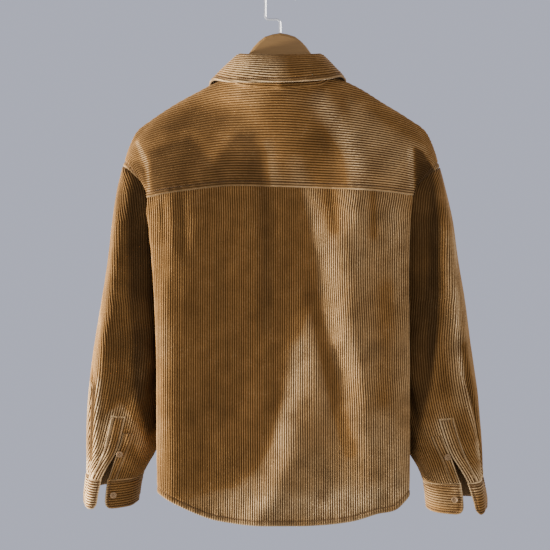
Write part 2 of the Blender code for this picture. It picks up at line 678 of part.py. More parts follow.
def make_back(back, look):
    shares = seam_end(np.concatenate([-BODY_SHARES[:0:-1], BODY_SHARES]))
    hems = by_side(HEMS, shares, "back_left", "back_right")
    seam = level_at(back, shares, by_side(YOKE_SEAM, shares, "left", "right") - SEAM)
    levels = panel_levels(hems, seam, BACK_CHEST_ROWS)
    wall("back_panel", [grid(back, levels, np.broadcast_to(shares, levels.shape), -1)], CLOTH, look)


def front_seam_share(shares):
    """How much of each front column the yoke covers: none inside the neck end of its seam."""
    run = np.clip((np.abs(shares) - FRONT_SEAM_NECK) / (NECK_SHARE - FRONT_SEAM_NECK), 0, 1)
    return FRONT_SEAM_DROP * smooth(0.5 + 0.5 * run) * run


def front_seam_gap(shares):
    """The front yoke seam's gap on either side, as a share of a column, wider at the neck."""
    return mix(0.0065, 0.0010, smooth((np.abs(shares) - FRONT_SEAM_NECK) / 0.25))


def make_yoke(back, front, look):
    shares = seam_end(np.concatenate([-BODY_SHARES[:0:-1], BODY_SHARES]))
    seam = level_at(back, shares, by_side(YOKE_SEAM, shares, "left", "right") + SEAM)
    levels = np.array([mix(seam, np.full_like(seam, CHEST_Z + 1), r) for r in BACK_YOKE_ROWS])
    patches = [grid(back, levels, np.broadcast_to(shares, levels.shape), -1)]
    far = seam_end(BODY_SHARES[BODY_SHARES >= FRONT_SEAM_NECK - 1e-9])
    for side in (-1, 1):
        line = (side * far)[::-side]
        cover = front_seam_share(line)
        low = np.minimum(CHEST_Z + 1 - cover + front_seam_gap(line), CHEST_Z + 1)
        levels = np.array([mix(low, np.full_like(low, CHEST_Z + 1), r) for r in FRONT_YOKE_ROWS])
        patches.append(grid(front, levels, np.broadcast_to(line, levels.shape), 1))
    wall("back_yoke", patches, CLOTH, look)


def share_at_x(sheet, levels, x):
    """The share at which each level of a body sheet reaches a distance from the centre line."""
    levels, x = np.broadcast_arrays(levels, x)
    found = np.empty(levels.shape)
    for i, (level, reach) in enumerate(zip(levels.ravel(), x.ravel())):
        line = sample(sheet, np.full(len(sheet.shares), level), sheet.shares)[:, 0]
        found.ravel()[i] = np.interp(reach, line, sheet.shares)
    return found


def make_front(front, side, look):
    """One front. The left one stops at the band's edge, the right one passes behind the band."""
    far = seam_end(BODY_SHARES[BODY_SHARES > 0.10])
    near = [-BAND_HALF - SEAM]
    if side > 0:
        near = [-BAND_LAP, BAND_HALF, BAND_HALF + 0.5 * BAND_STEP, BAND_HALF + BAND_STEP]
    line = np.concatenate([np.abs(near) / HALF_GIRTH, far]) * side
    hems = read(HEMS, "share", "front", np.abs(line))
    cover = front_seam_share(line)
    top = CHEST_Z + 1 - cover - front_seam_gap(line)
    levels = panel_levels(hems, top, FRONT_CHEST_ROWS)
    shares = np.broadcast_to(line, levels.shape).copy()
    for k, x in enumerate(near):
        shares[:, k] = share_at_x(front, levels[:, k], x)
    points, normals, skip = grid(front, levels, shares, 1)
    if side > 0:
        dip = BAND_DIP * (1 - smooth((points[..., 0] - BAND_HALF) / BAND_STEP))
        points = points - normals * dip[..., None]
    wall("front_left" if side < 0 else "front_right", [[points, normals, skip]], CLOTH, look)


def make_band(front, look):
    across = np.linspace(-BAND_HALF, BAND_HALF, 5)
    hems = read(HEMS, "share", "front", np.abs(across) / HALF_GIRTH)
    levels = panel_levels(hems, np.full_like(hems, CHEST_Z + 1), FRONT_CHEST_ROWS)
    shares = share_at_x(front, levels, np.broadcast_to(across, levels.shape))
    points, normals, skip = grid(front, levels, shares, 1)
    points = points + normals * BAND_PROUD
    wall("front_band", [[points, normals, skip]], BAND_THICK, look)
    middle = points[:, 2]
    for k in range(FRONT_BUTTONS):
        height = FRONT_BUTTON_TOP_Z - k * FRONT_BUTTON_STEP
        row = int(np.searchsorted(middle[:, 2], height))
        slope = middle[row] - middle[row - 1]
        place = middle[row - 1] + slope * (height - middle[row - 1, 2]) / slope[2]
        normal = np.cross(slope, (1.0, 0, 0))
        normal *= np.sign(normal[1]) / np.linalg.norm(normal)
        button("front_button_%d" % (k + 1), place + normal * LIFT, normal)


def collar_point(turn, kind):
    turn = np.asarray(turn, float)
    names = [kind + "_x", kind + "_y", kind + "_z"]
    place = np.stack([read(COLLARS, "turn", n, np.abs(turn)) for n in names], axis=-1)
    place[..., 0] *= np.sign(turn)
    if kind == "edge":
        place[..., 0] += LEAF_LEAN_X * smooth(np.abs(turn) / 60)
        place[..., 2] += LEAF_LEAN_Z * np.sign(turn) * smooth(np.abs(turn) / 60)
    return place


def leaf_belly(turn):
    return mix(LEAF_BELLY, LEAF_BELLY_SIDE, smooth((np.abs(turn) - 30) / 60))


def away_from_axis(points):
    out = points.copy()
    out[..., 2] = 0
    out[..., 1] -= 0.006
    return out / np.maximum(np.linalg.norm(out, axis=-1, keepdims=True), 1e-9)


def grid_normals(points, face):
    up = np.gradient(points, axis=0)
    over = np.gradient(points, axis=1)
    normal = np.cross(up, over) * face
    return normal / np.maximum(np.linalg.norm(normal, axis=-1, keepdims=True), 1e-12)


def make_collar(look):
    near = BODY_SHARES[BODY_SHARES <= NECK_SHARE + 1e-9] / NECK_SHARE * 90
    half = np.concatenate([near, 180 - near[-2:0:-1], [COLLAR_END]])
    turns = np.concatenate([-half[:0:-1], [1e-6], half[1:]])
    fold = collar_point(turns, "fold")
    neck = neck_point(turns)
    along = np.gradient(fold, axis=0)
    along /= np.linalg.norm(along, axis=1, keepdims=True)
    up = fold - neck
    up -= along * (up * along).sum(axis=1, keepdims=True)
    up /= np.linalg.norm(up, axis=1, keepdims=True)
    foot = neck + up * STAND_GAP
    stand = np.array([mix(foot, fold, r) for r in (0, 0.33, 0.67, 1.0)])
    wall("collar_stand", [[stand, grid_normals(stand, -1), None]], STAND_THICK, look)

    edge = collar_point(turns, "edge")
    out = np.cross(along, up)
    out *= np.sign((out * away_from_axis(fold)).sum(axis=1, keepdims=True))
    rows = [fold + up * 0.0036 - out * 0.0006, fold + up * 0.0030 + out * 0.0022,
            fold + out * 0.0046 - up * 0.0010]
    start = rows[-1]
    for r in (0.22, 0.45, 0.68, 0.86, 1.0):
        belly = leaf_belly(turns)[:, None] * math.sin(math.pi * r)
        rows.append(mix(start, edge, r) + out * belly)
    leaf = np.array(rows)[::-1]
    wall("collar_leaf", [[leaf, grid_normals(leaf, -1), None]], DOUBLE, look)


# Columns round a sleeve: by the underarm, the back, the slit, the pleat, the outside, the front.
SLEEVE_SHARES = [0, .03, .07, .11, SLIT - UNDERLAP_SHARE, SLIT, SLIT, SLIT + 0.5 * TOWER_SHARE,
                 SLIT + TOWER_SHARE, .305, .34, .365, .39, .415, .44, .47, .51, .55, .60, .65,
                 .70, .75, .80, .85, .90, .95, 1.0]
SLIT_COLUMN = 5
LOW_SLEEVE_ROWS = np.linspace(0, 1, 7)[1:]     # underarm to the tower's top
TOWER_ROWS = np.array([.5, 1.0])               # tower's top to the slit's top
SLIT_ROWS = np.array([.25, .5, .75, 1.0])      # slit's top to the cuff
CUFF_ROWS = np.array([0, .25, .5, .75, 1.0])   # cuff's lower edge to its top
BUTTON_SHARE = (0.30, 0.70)     # place of the placket button across the underlap
CUFF_BUTTON_IN = 0.0125         # from the cuff's end to its button
CUFF_BUTTON_DOWN = 0.53         # share of the cuff's height above its button


def sleeve_columns(name, rows_z):
    """Shares of the sleeve's columns on rows of given levels, opened at the slit."""
    shares = np.broadcast_to(np.array(SLEEVE_SHARES), rows_z.shape)
    opened = cuff_top(name, SLIT) + SLIT_LENGTH - rows_z
    gape = smooth(opened / SLIT_LENGTH) * SLIT_HALF_GAP / CUFF_GIRTH
    before = (np.arange(len(SLEEVE_SHARES)) <= SLIT_COLUMN)[None, :]
    near = smooth(1 - np.abs(shares - SLIT) / GAPE_FADE)
    return arm_share(name, shares, rows_z) + np.where(before, -gape, gape) * near


def make_sleeve(side, back, front, arm, look):
    name = "left" if side < 0 else "right"
    face = -side
    shares = np.array(SLEEVE_SHARES)
    # above the underarm the two ends of each row sit on the body's own seam points
    edge = np.array([float(side)])
    underarm = np.array([UNDERARM_Z])
    back_seam = level_at(back, edge, by_side(YOKE_SEAM, edge, "left", "right"))
    front_seam = CHEST_Z + 1 - front_seam_share(edge)
    heights = []
    for sheet, seam, chest_rows, yoke_rows in (
            (back, back_seam, BACK_CHEST_ROWS, BACK_YOKE_ROWS),
            (front, front_seam, FRONT_CHEST_ROWS, FRONT_YOKE_ROWS)):
        levels = panel_levels(underarm, seam, chest_rows)[len(LOW_ROWS):, 0]
        levels = np.concatenate([levels, mix(seam[0], CHEST_Z + 1, yoke_rows[1:])])
        heights.append(sample(sheet, levels, np.full(len(levels), edge[0]))[::-1, 2])
    top_rows = [mix(z_back, z_front, smooth(shares)) for z_back, z_front in zip(*heights)]
    del top_rows[1]         # the row next to the shoulder tip would be almost on it
    top_rows.append(np.full(len(shares), UNDERARM_Z))
    cuff = cuff_top(name, shares)
    tower = cuff + TOWER_LENGTH
    slit = cuff + SLIT_LENGTH
    rows = top_rows + [mix(UNDERARM_Z, tower, r) for r in LOW_SLEEVE_ROWS]
    rows += [mix(tower, slit, r) for r in TOWER_ROWS]
    rows += [mix(slit, cuff + SEAM, r) for r in SLIT_ROWS]
    rows_z = np.array(rows)
    columns = sleeve_columns(name, rows_z)
    points, normals, _ = grid(arm, rows_z, columns, face)
    # pull the armhole edge off the body's edge by the seam's gap
    shift = np.zeros_like(points)
    count = len(top_rows)
    off = np.array([side * 0.0005, 0, -0.0003])
    shift[:count, 0] = off
    shift[:count, -1] = off
    shift[1, :] = off * 1.5
    shift[0, :] = off * 2
    points = points + shift
    points[0] = points[0].mean(axis=0)
    tip_normal = np.array([side * 0.90, 0, 0.43])
    normals[0] = tip_normal
    normals[1] = mix(normals[1], tip_normal, 0.5)
    normals[1] /= np.linalg.norm(normals[1], axis=-1, keepdims=True)
    wall("sleeve_" + name, [[points, normals, SLIT_COLUMN]], CLOTH, look)
    make_plackets(name, points, normals, count, look)


def placket(name, points, normals, near, look):
    """A strip of cloth on the sleeve's own points, held back from the slit at column near."""
    points = points.copy()
    step = points[:, near + 1 if near == 0 else near - 1] - points[:, near]
    points[:, near] += step / np.linalg.norm(step, axis=-1, keepdims=True) * PLACKET_BACK
    wall(name, [[points + normals * (LIFT + CLOTH), normals, None]], CLOTH, look)


def make_plackets(name, points, normals, count, look):
    """Tower placket and underlap: the sleeve's own points beside the slit, moved out."""
    first = count + len(LOW_SLEEVE_ROWS) - 1
    last = points.shape[0]
    tower = np.s_[first:last, SLIT_COLUMN + 1:SLIT_COLUMN + 4]
    placket("tower_placket_" + name, points[tower], normals[tower], 0, look)
    start = first + 1
    under = np.s_[start:last, SLIT_COLUMN - 1:SLIT_COLUMN + 1]
    placket("underlap_" + name, points[under], normals[under], 1, look)
    middle = np.s_[start + 1:start + 3, SLIT_COLUMN - 1:SLIT_COLUMN + 1]
    place = np.average(points[middle].mean(axis=0), axis=0, weights=BUTTON_SHARE)
    normal = np.average(normals[middle].mean(axis=0), axis=0, weights=BUTTON_SHARE)
    normal = normal / np.linalg.norm(normal)
    button("placket_button_" + name, place + normal * (2 * LIFT + CLOTH), normal)


def cuff_rise(shares):
    """How far the rounded corners beside the slit lift the cuff's lower edge."""
    corner = np.minimum(shares - SLIT, SLIT + 1.0 - shares) * CUFF_GIRTH
    inside = np.clip(CUFF_CORNER - corner, 0, CUFF_CORNER)
    return CUFF_CORNER - np.sqrt(CUFF_CORNER ** 2 - inside ** 2)


def cuff_rows(name, shares, rows):
    """Levels and sleeve shares of a cuff: columns run from the slit by the outside, once round."""
    wrapped = np.mod(shares - 1e-9, 1.0)
    top = cuff_top(name, wrapped) - CUFF_GAP
    fall = cuff_fall(name, wrapped)
    rows_z = mix(top - fall + cuff_rise(shares), top, rows[:, None])
    near_start = smooth(1 - (shares - SLIT) / GAPE_FADE)
    near_end = smooth(1 - (SLIT + 1.0 - shares) / GAPE_FADE)
    spread = CUFF_EDGES[name].spread * near_start * (top - rows_z) / fall
    gape = SLIT_HALF_GAP * (near_start - near_end) + spread
    return rows_z, arm_share(name, wrapped, top) + gape / CUFF_GIRTH


def make_cuff(side, arm, look):
    name = "left" if side < 0 else "right"
    face = -side
    shares = np.array(SLEEVE_SHARES)
    shares = np.concatenate([shares[SLIT_COLUMN + 1:], shares[1:SLIT_COLUMN + 1] + 1.0])
    rows_z, columns = cuff_rows(name, shares, CUFF_ROWS)
    points, normals, _ = grid(arm, rows_z, columns, face)
    points = points + normals * CUFF_PROUD
    wall("cuff_" + name, [[points, normals, None]], DOUBLE, look)
    height = cuff_top(name, SLIT) - CUFF_BUTTON_DOWN * cuff_fall(name, SLIT)
    in_from_end = (SLIT_HALF_GAP + CUFF_BUTTON_IN) / CUFF_GIRTH
    place_share = arm_share(name, SLIT, cuff_top(name, SLIT)) - in_from_end
    place = sample(arm, np.array([height]), np.array([place_share]))[0]
    normal = outward(arm, np.array([height]), np.array([place_share]), face)[0]
    button("cuff_button_" + name, place + normal * (CUFF_PROUD + LIFT), normal)


def sweep(name, path, radius, sides, look):
    """A round wire along a smooth path, as a closed tube."""
    curve = bpy.data.curves.new(name, "CURVE")
    curve.dimensions = "3D"
    curve.bevel_depth = radius
    curve.bevel_resolution = sides
    curve.use_fill_caps = True
    spline = curve.splines.new("POLY")
    spline.points.add(len(path) - 1)
    for point, place in zip(spline.points, path):
        point.co = (*place, 1)
    made = bpy.data.objects.new(name, curve)
    bpy.context.collection.objects.link(made)
    curve.materials.append(look)
    return made


def hanger_roof(back, front, side):
    """Highest line that the board's top edge may follow inside one shoulder."""
    line = []
    for share in side * BODY_SHARES[BODY_SHARES > NECK_SHARE][:-1]:
        seam = level_at(back, share, by_side(YOKE_SEAM, share, "left", "right"))
        back_levels = mix(seam, CHEST_Z + 1, BACK_YOKE_ROWS)
        front_levels = mix(CHEST_Z + 1 - front_seam_share(share), CHEST_Z + 1, FRONT_YOKE_ROWS)
        inner = []
        for sheet, levels, face in ((back, back_levels, -1), (front, front_levels[::-1], 1)):
            shares = np.full(len(levels), share)
            inner.append(sample(sheet, levels, shares)
                         - outward(sheet, levels, shares, face) * CLOTH)
        ring = np.concatenate(inner)[2:-1]
        order = np.argsort(ring[:, 1])
        reach = HANGER_THICK / 2 - HANGER_ROUND * np.array([1.0, 0.5, 0.29, 0.12, 0.0])
        drop = HANGER_ROUND * np.array([0.0, 0.13, 0.29, 0.6, 1.0])
        room = [np.interp(way * reach, ring[order, 1], ring[order, 2]) + drop for way in (-1, 1)]
        line.append((abs(inner[0][-1, 0]), np.min(room) - HANGER_GAP))
    return np.array(line)


def make_hanger(back, front):
    """A flat board whose top edge runs just inside the shoulders of the jacket."""
    wood = material("beech", BEECH, 0.45)
    tops = []
    for side in (-1, 1):
        half = [(0.0, -0.0885), (0.024, -0.0940), (0.046, -0.1140), (0.062, -0.1400),
                (0.078, -0.1610)]
        roof = hanger_roof(back, front, side)
        for x in (0.105, 0.125, 0.150, 0.175, 0.200, HANGER_END_X):
            half.append((x, float(np.interp(x, roof[:, 0], roof[:, 1]))))
        tops.append([(side * x, z) for x, z in half])
    left = even(tops[0], 22)[::-1]
    right = even(tops[1], 22)
    top = np.concatenate([left[:-1], right])
    bottom = []
    for x, z in ((HANGER_END_X - 0.004, -0.2700), (0.180, -0.2400), (0.130, -0.2080),
                 (0.080, -0.1800), (0.030, -0.1560), (0.0, -0.1500)):
        bottom.append((x, z))
    low_half = even(bottom, 14)
    low = np.concatenate([low_half, (low_half * (-1, 1))[::-1][1:]])
    outline = np.concatenate([top, low])
    mesh = bpy.data.meshes.new("hanger")
    made = bmesh.new()
    half = HANGER_THICK / 2
    face = made.faces.new([made.verts.new((x, -half, z)) for x, z in outline])
    made.normal_update()
    grown = bmesh.ops.extrude_face_region(made, geom=[face])
    moved = [v for v in grown["geom"] if isinstance(v, bmesh.types.BMVert)]
    bmesh.ops.translate(made, verts=moved, vec=(0, HANGER_THICK, 0))
    bmesh.ops.recalc_face_normals(made, faces=made.faces)
    long_edges = [e for e in made.edges
                  if abs(e.verts[0].co.y - e.verts[1].co.y) < 1e-6]
    bmesh.ops.bevel(made, geom=long_edges, offset=HANGER_ROUND, segments=2, profile=0.5,
                    affect="EDGES", clamp_overlap=True)
    made.to_mesh(mesh)
    made.free()
    board = bpy.data.objects.new("hanger", mesh)
    bpy.context.collection.objects.link(board)
    mesh.materials.append(wood)
    mesh.shade_smooth()
    mesh.set_sharp_from_angle(angle=math.radians(40))
    return board


def make_hook():
    """Wire: up from the hanger, a jog to the left, up, and over to the right to its tip."""
    centre_z = -(HOOK_RADIUS - WIRE)
    jog = 0.006
    path = [(0, 0, -0.0880 - 0.0001)]
    path += [(0, 0, -0.0780), (0, 0, HOOK_JOG_Z - 2 * jog)]
    for k in range(1, 5):
        a = math.pi / 2 * k / 4
        path.append((-jog + jog * math.cos(a), 0, HOOK_JOG_Z - jog + jog * math.sin(a)))
    for k in range(0, 5):
        a = math.pi / 2 * k / 4
        path.append((-HOOK_RADIUS + jog - jog * math.sin(a), 0,
                     HOOK_JOG_Z + jog - jog * math.cos(a)))
    for k in range(0, 17):
        a = math.pi - math.pi * k / 16 * 1.04
        path.append((HOOK_RADIUS * math.cos(a), 0, centre_z + HOOK_RADIUS * math.sin(a)))
    end = path[-1]
    path.append((end[0] + 0.0006, 0, end[2] - 0.007))
    sweep("hook", path, WIRE, 2, material("steel", STEEL, 0.25, 1.0))


def main():
    for old in list(bpy.data.objects):
        bpy.data.objects.remove(old, do_unlink=True)
    cloth = material("corduroy", CORDUROY, 0.9)
    back = body_sheet(-1)
    front = body_sheet(1)
    make_back(back, cloth)
    make_yoke(back, front, cloth)
    make_front(front, -1, cloth)
    make_front(front, 1, cloth)
    make_band(front, cloth)
    make_collar(cloth)
    for side in (-1, 1):
        arm = arm_sheet(side, back, front)
        make_sleeve(side, back, front, arm, cloth)
        make_cuff(side, arm, cloth)
    make_hanger(back, front)
    make_hook()


main()
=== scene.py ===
"""Looks of the corduroy shirt jacket: ribbed cloth shells, stitching, buttons, hanger and light.

Every cloth piece is a closed thin shell on the same sheets as its CAD solid, with the wales as
real ridges along the grain of the piece. The back of the jacket faces -Y.
"""
import itertools
import math
from collections import namedtuple

import bmesh
import bpy
import numpy as np
from mathutils.kdtree import KDTree
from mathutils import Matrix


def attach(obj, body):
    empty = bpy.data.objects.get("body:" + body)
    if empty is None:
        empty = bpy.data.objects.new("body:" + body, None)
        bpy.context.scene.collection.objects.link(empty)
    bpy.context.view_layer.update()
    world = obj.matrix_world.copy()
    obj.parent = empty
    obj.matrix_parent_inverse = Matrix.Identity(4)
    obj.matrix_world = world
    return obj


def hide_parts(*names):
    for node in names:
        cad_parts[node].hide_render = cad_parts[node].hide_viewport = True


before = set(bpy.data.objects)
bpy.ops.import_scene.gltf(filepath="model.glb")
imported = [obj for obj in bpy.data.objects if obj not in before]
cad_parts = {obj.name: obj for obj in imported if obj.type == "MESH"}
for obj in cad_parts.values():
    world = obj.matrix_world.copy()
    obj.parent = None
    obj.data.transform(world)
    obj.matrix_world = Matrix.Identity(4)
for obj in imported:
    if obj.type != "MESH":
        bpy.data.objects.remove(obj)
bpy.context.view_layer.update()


def rows_of(fields, rows):
    """A table: rows with named columns."""
    row_type = namedtuple("Row", fields)
    return [row_type(*row) for row in rows]


# ---------------------------------------------------------------- cloth and seams
CLOTH = 0.0018          # one layer of the corduroy
DOUBLE = 0.0030         # collar and cuffs, two layers with interlining
SEAM = 0.0002           # each piece stops this far short of its seam line
LIFT = 0.0004           # a piece that lies on another is this far off it
HALF_GIRTH = 0.27       # length round half a body level, which turns lengths there into shares
CUFF_GIRTH = 0.29       # length round a cuff, which turns lengths there into shares
HALF = 120              # columns in each half of a dense body sheet
ROUND = 192             # columns round a dense sleeve

# ---------------------------------------------------------------- body, half widths by level
CHEST_Z = -0.400        # above this level the cloth draws in to the shoulders
UNDERARM_Z = -0.545
HEM_LOW_Z = -0.930
SIDE_X = 0.187          # side seam
UNDERARM_X = 0.1885
CHEST_X = 0.200         # armhole seam at chest level
ARMHOLE_BACK_Y = 0.036  # how far the armhole seam stands off the side seam at chest level
ARMHOLE_FRONT_Y = 0.045
EDGE_DEPTH = 0.80       # depth of the fold edge, as a share of the depth at the centre
# Half a level from the centre to the fold edge, as shares of its half width and its depth, and on
# from the fold edge to the side seam, as shares of the way there.
ACROSS = [(0.00, 1.000), (0.45, 1.000), (0.80, 0.985), (0.95, 0.925)]
TURN_IN = [(0.00, 0.00), (0.15, 0.28), (0.62, 0.66), (1.00, 1.00)]
WAIST_Z = -0.700        # the side seam leaves SIDE_X here,
WAIST_RUN = 0.155       # and reaches UNDERARM_X over this height
SHOULDER_POINTS = 201
SLANT = (-0.58, -0.74, 0.34)   # the cloth's direction at the corner of neck and shoulder
BACK_LEAN = 0.30        # how far it leans in at the neck's back,
FRONT_LEAN = 0.45       # and at its front
REACH = 0.12            # how far these directions carry on into the panels,
CORNER_REACH = 0.08     # and at the corner
LOW_LEVELS = 81         # levels of a body sheet up to CHEST_Z,
HIGH_LEVELS = 49        # and from there to its top edge
SIDE_FADE = 0.12        # share by the side seams over which the folds fade
TOP_FADE = 0.5          # level under the top edge over which they do

GIRTHS = rows_of("z back_left back_right back_y front_half front_y", [
    (-0.930, 0.2000, 0.2110, 0.064, 0.1950, 0.070),
    (-0.780, 0.2014, 0.2124, 0.067, 0.1960, 0.072),
    (-0.600, 0.2030, 0.2116, 0.066, 0.1950, 0.070),
    (-0.500, 0.2080, 0.2116, 0.062, 0.1960, 0.066),
    (-0.400, 0.2175, 0.2140, 0.058, 0.2000, 0.060),
])

# The shoulder line from the neck, over the hanger and down past its end to the armhole seam.
SHOULDERS = rows_of("left left_z right right_z", [
    (0.0880, -0.1605, 0.0880, -0.1605),
    (0.1294, -0.1836, 0.1364, -0.1836),
    (0.1786, -0.2106, 0.1707, -0.2057),
    (0.2154, -0.2352, 0.2149, -0.2327),
    (0.2399, -0.2548, 0.2444, -0.2548),
    (0.2498, -0.2745, 0.2543, -0.2745),
    (0.2620, -0.3114, 0.2665, -0.3137),
])
SHOULDER_Y = 0.004      # the armhole's tip lies this far in front of the hanger's plane
NECK_SHARE = 0.333      # share of each half's columns that end on the neck seam

# The neck seam, by the turn in degrees from the centre of the back.
NECKS = rows_of("turn x y z", [
    (0, 0.0000, -0.0560, -0.1840),
    (45, 0.0660, -0.0400, -0.1780),
    (90, 0.0880, 0.0000, -0.1605),
    (105, 0.0855, 0.0175, -0.1690),
    (128, 0.0710, 0.0400, -0.1930),
    (155, 0.0370, 0.0595, -0.2280),
    (180, 0.0000, 0.0660, -0.2460),
])

# Hems and the back yoke seam, by the share of the way from the centre line to the side seam.
HEMS = rows_of("share back_left back_right front", [
    (0.00, -0.9045, -0.9045, -0.8760),
    (0.15, -0.9038, -0.9045, -0.8760),
    (0.30, -0.9000, -0.9020, -0.8755),
    (0.45, -0.8925, -0.8960, -0.8740),
    (0.58, -0.8790, -0.8850, -0.8690),
    (0.70, -0.8635, -0.8770, -0.8600),
    (0.78, -0.8520, -0.8590, -0.8520),
    (0.90, -0.8420, -0.8450, -0.8430),
    (1.00, -0.8380, -0.8380, -0.8380),
])
YOKE_SEAM = rows_of("share left right", [
    (0.00, -0.3485, -0.3485),
    (0.35, -0.3475, -0.3515),
    (0.60, -0.3540, -0.3545),
    (1.00, -0.3690, -0.3640),
])
FRONT_SEAM_DROP = 0.15  # share of a front column that the yoke covers below the shoulder line
FRONT_GAP = 0.0010      # gap on either side of the front yoke seam, as a share of a column,
FRONT_GAP_NECK = 0.0065     # and the same by the neck,
FRONT_GAP_RUN = 0.25    # which narrows over this share
FRONT_SEAM_NECK = 0.23  # share of each half where the front yoke seam meets the neck

# Soft folds of the back and the front: a ridge stands out, a trough has a negative height.
FOLD = "x_top z_top x_low z_low bow width height"
BACK_FOLDS = rows_of(FOLD, [
    (0.030, -0.215, 0.040, -0.800, 0.000, 0.085, -0.012),   # hollow between the shoulders
    (-0.172, -0.270, -0.172, -0.960, 0.000, 0.030, 0.007),  # roll beside the left edge
    (0.098, -0.150, 0.130, -0.440, 0.006, 0.026, 0.008),    # right shoulder blade
    (0.030, -0.290, 0.112, -0.740, -0.005, 0.021, -0.010),  # long slanting trough
    (0.088, -0.320, 0.155, -0.880, 0.000, 0.034, 0.009),    # ridge right of it
    (0.088, -0.480, -0.062, -0.960, 0.030, 0.044, 0.009),   # sweep toward the left hem
    (-0.166, -0.300, -0.160, -0.470, 0.000, 0.012, -0.004),
    (-0.022, -0.290, -0.014, -0.440, 0.000, 0.011, -0.0035),
    (0.080, -0.300, 0.094, -0.430, 0.000, 0.010, -0.004),
    (0.152, -0.320, 0.148, -0.440, 0.000, 0.010, -0.003),
    (-0.100, -0.100, -0.090, -0.350, 0.000, 0.018, 0.004),
    (0.000, -0.170, 0.012, -0.350, 0.000, 0.016, 0.003),
    # finer ones, which the solids leave out
    (-0.196, -0.330, -0.192, -0.520, 0.004, 0.009, -0.0030),
    (-0.185, -0.420, -0.190, -0.800, -0.004, 0.010, 0.0022),
    (-0.130, -0.360, -0.146, -0.560, 0.000, 0.016, 0.0022),
    (-0.060, -0.370, -0.080, -0.760, 0.010, 0.030, -0.0030),
    (0.052, -0.345, 0.066, -0.470, 0.000, 0.012, 0.0028),
    (0.182, -0.340, 0.190, -0.620, 0.004, 0.014, -0.0030),
    (0.170, -0.560, 0.190, -0.860, 0.000, 0.018, 0.0028),
    (0.010, -0.640, -0.060, -0.900, 0.010, 0.020, -0.0022),
    (-0.128, -0.185, -0.150, -0.330, 0.000, 0.014, -0.0030),
    (-0.060, -0.200, -0.052, -0.345, 0.000, 0.016, -0.0026),
    (0.170, -0.200, 0.180, -0.330, 0.000, 0.016, -0.0024),
])
FRONT_FOLDS = rows_of(FOLD, [
    (-0.110, -0.230, -0.070, -0.700, 0.010, 0.040, -0.008),
    (0.115, -0.230, 0.080, -0.640, -0.010, 0.040, -0.007),
    (-0.150, -0.300, -0.140, -0.930, 0.000, 0.030, 0.007),
    (0.150, -0.320, 0.135, -0.940, 0.000, 0.032, 0.006),
    (-0.050, -0.480, -0.085, -0.930, 0.000, 0.026, 0.005),
    (0.070, -0.560, 0.060, -0.950, 0.000, 0.026, 0.004),
    (-0.170, -0.330, -0.160, -0.620, 0.004, 0.012, -0.0032),
    (0.168, -0.340, 0.172, -0.700, 0.004, 0.013, -0.0030),
    (0.040, -0.420, 0.050, -0.800, 0.000, 0.016, -0.0026),
])
FOLD_END = 0.22         # share of a fold's length over which it fades at each end

# ---------------------------------------------------------------- sleeves, by level
ARMS = rows_of("z outer_left inner_left outer_right inner_right back_y front_y", [
    (-0.3125, 0.2624, 0.2560, 0.2665, 0.2600, 0.004, 0.006),
    (-0.3408, 0.2695, 0.2300, 0.2738, 0.2300, 0.036, 0.040),
    (-0.4046, 0.2792, 0.2000, 0.2880, 0.2000, 0.041, 0.056),
    (-0.4682, 0.2866, 0.1935, 0.2965, 0.1935, 0.043, 0.062),
    (-0.5450, 0.2985, 0.1889, 0.3095, 0.1889, 0.045, 0.068),
    (-0.6021, 0.3080, 0.1945, 0.3165, 0.1950, 0.046, 0.070),
    (-0.6713, 0.3171, 0.1975, 0.3270, 0.1985, 0.046, 0.068),
    (-0.7274, 0.3219, 0.2010, 0.3330, 0.2030, 0.045, 0.064),
    (-0.7863, 0.3243, 0.2085, 0.3378, 0.2150, 0.043, 0.057),
    (-0.8250, 0.3250, 0.2300, 0.3400, 0.2365, 0.041, 0.050),
    (-0.8680, 0.3310, 0.2395, 0.3465, 0.2465, 0.043, 0.048),
    (-0.9000, 0.3330, 0.2420, 0.3480, 0.2480, 0.043, 0.048),
])
ARM_END_Z = -0.900
OUTER_Y = 0.006         # the sleeve's outermost line lies just in front of the hanger's plane
SEAM_POINT = 0.030      # a level's first point off its seam, as a share of its width
TURN_LOW = 0.146        # shares of its width at an eighth and at three eighths of a round turn,
TURN_HIGH = 0.854
TURN_RISE = 0.707       # and the share of its depth there
TIP_FADE = 0.07         # height under the shoulder's tip over which a sleeve gets its full depth
UPPER_LEVELS = 25       # levels of a sleeve from its tip to the underarm,
UPPER_POWER = 1.7       # closer together by the tip,
LOWER_LEVELS = 61       # and from there on down
ARM_FADE = 0.08         # share by the underarm seam over which the folds fade

# How far each forearm swings forward.
SWINGS = rows_of("z left right", [
    (-0.560, 0.000, 0.000),
    (-0.640, 0.000, 0.000),
    (-0.730, 0.007, 0.003),
    (-0.820, 0.026, 0.012),
    (-0.900, 0.050, 0.024),
])
SLIT = 0.198            # share of the way round, from the underarm by the back, of the slit
CREST_TOP_Z = -0.322    # below this level the sleeve's back rises to a soft crease by its outside
CREST_RUN = 0.100       # height over which the crease comes in
TWIST = 0.102           # how far the columns by the slit turn outward on their way to the cuff
TWIST_HEIGHT = 0.180    # height above the cuff from which they turn
TWIST_POWER = 1.6
SLIT_LENGTH = 0.050     # the part of the slit that gapes
SLIT_HALF_GAP = 0.0050  # half the width that it gapes at the cuff
GAPE_FADE = 0.13        # share on either side of the slit over which the gape fades
TOWER_LENGTH = 0.106    # tower placket, from the cuff up to its squared top
TOWER_SHARE = 0.066     # widths of the tower placket and the underlap, as shares of the girth
UNDERLAP_SHARE = 0.042
PLACKET_BACK = 0.0006   # each of them is held back this far from the slit
CUFF_CORNER = 0.012     # radius of the cuff's lower corners
CUFF_PROUD = 0.0008     # the cuff's outer face stands this far off the sleeve's
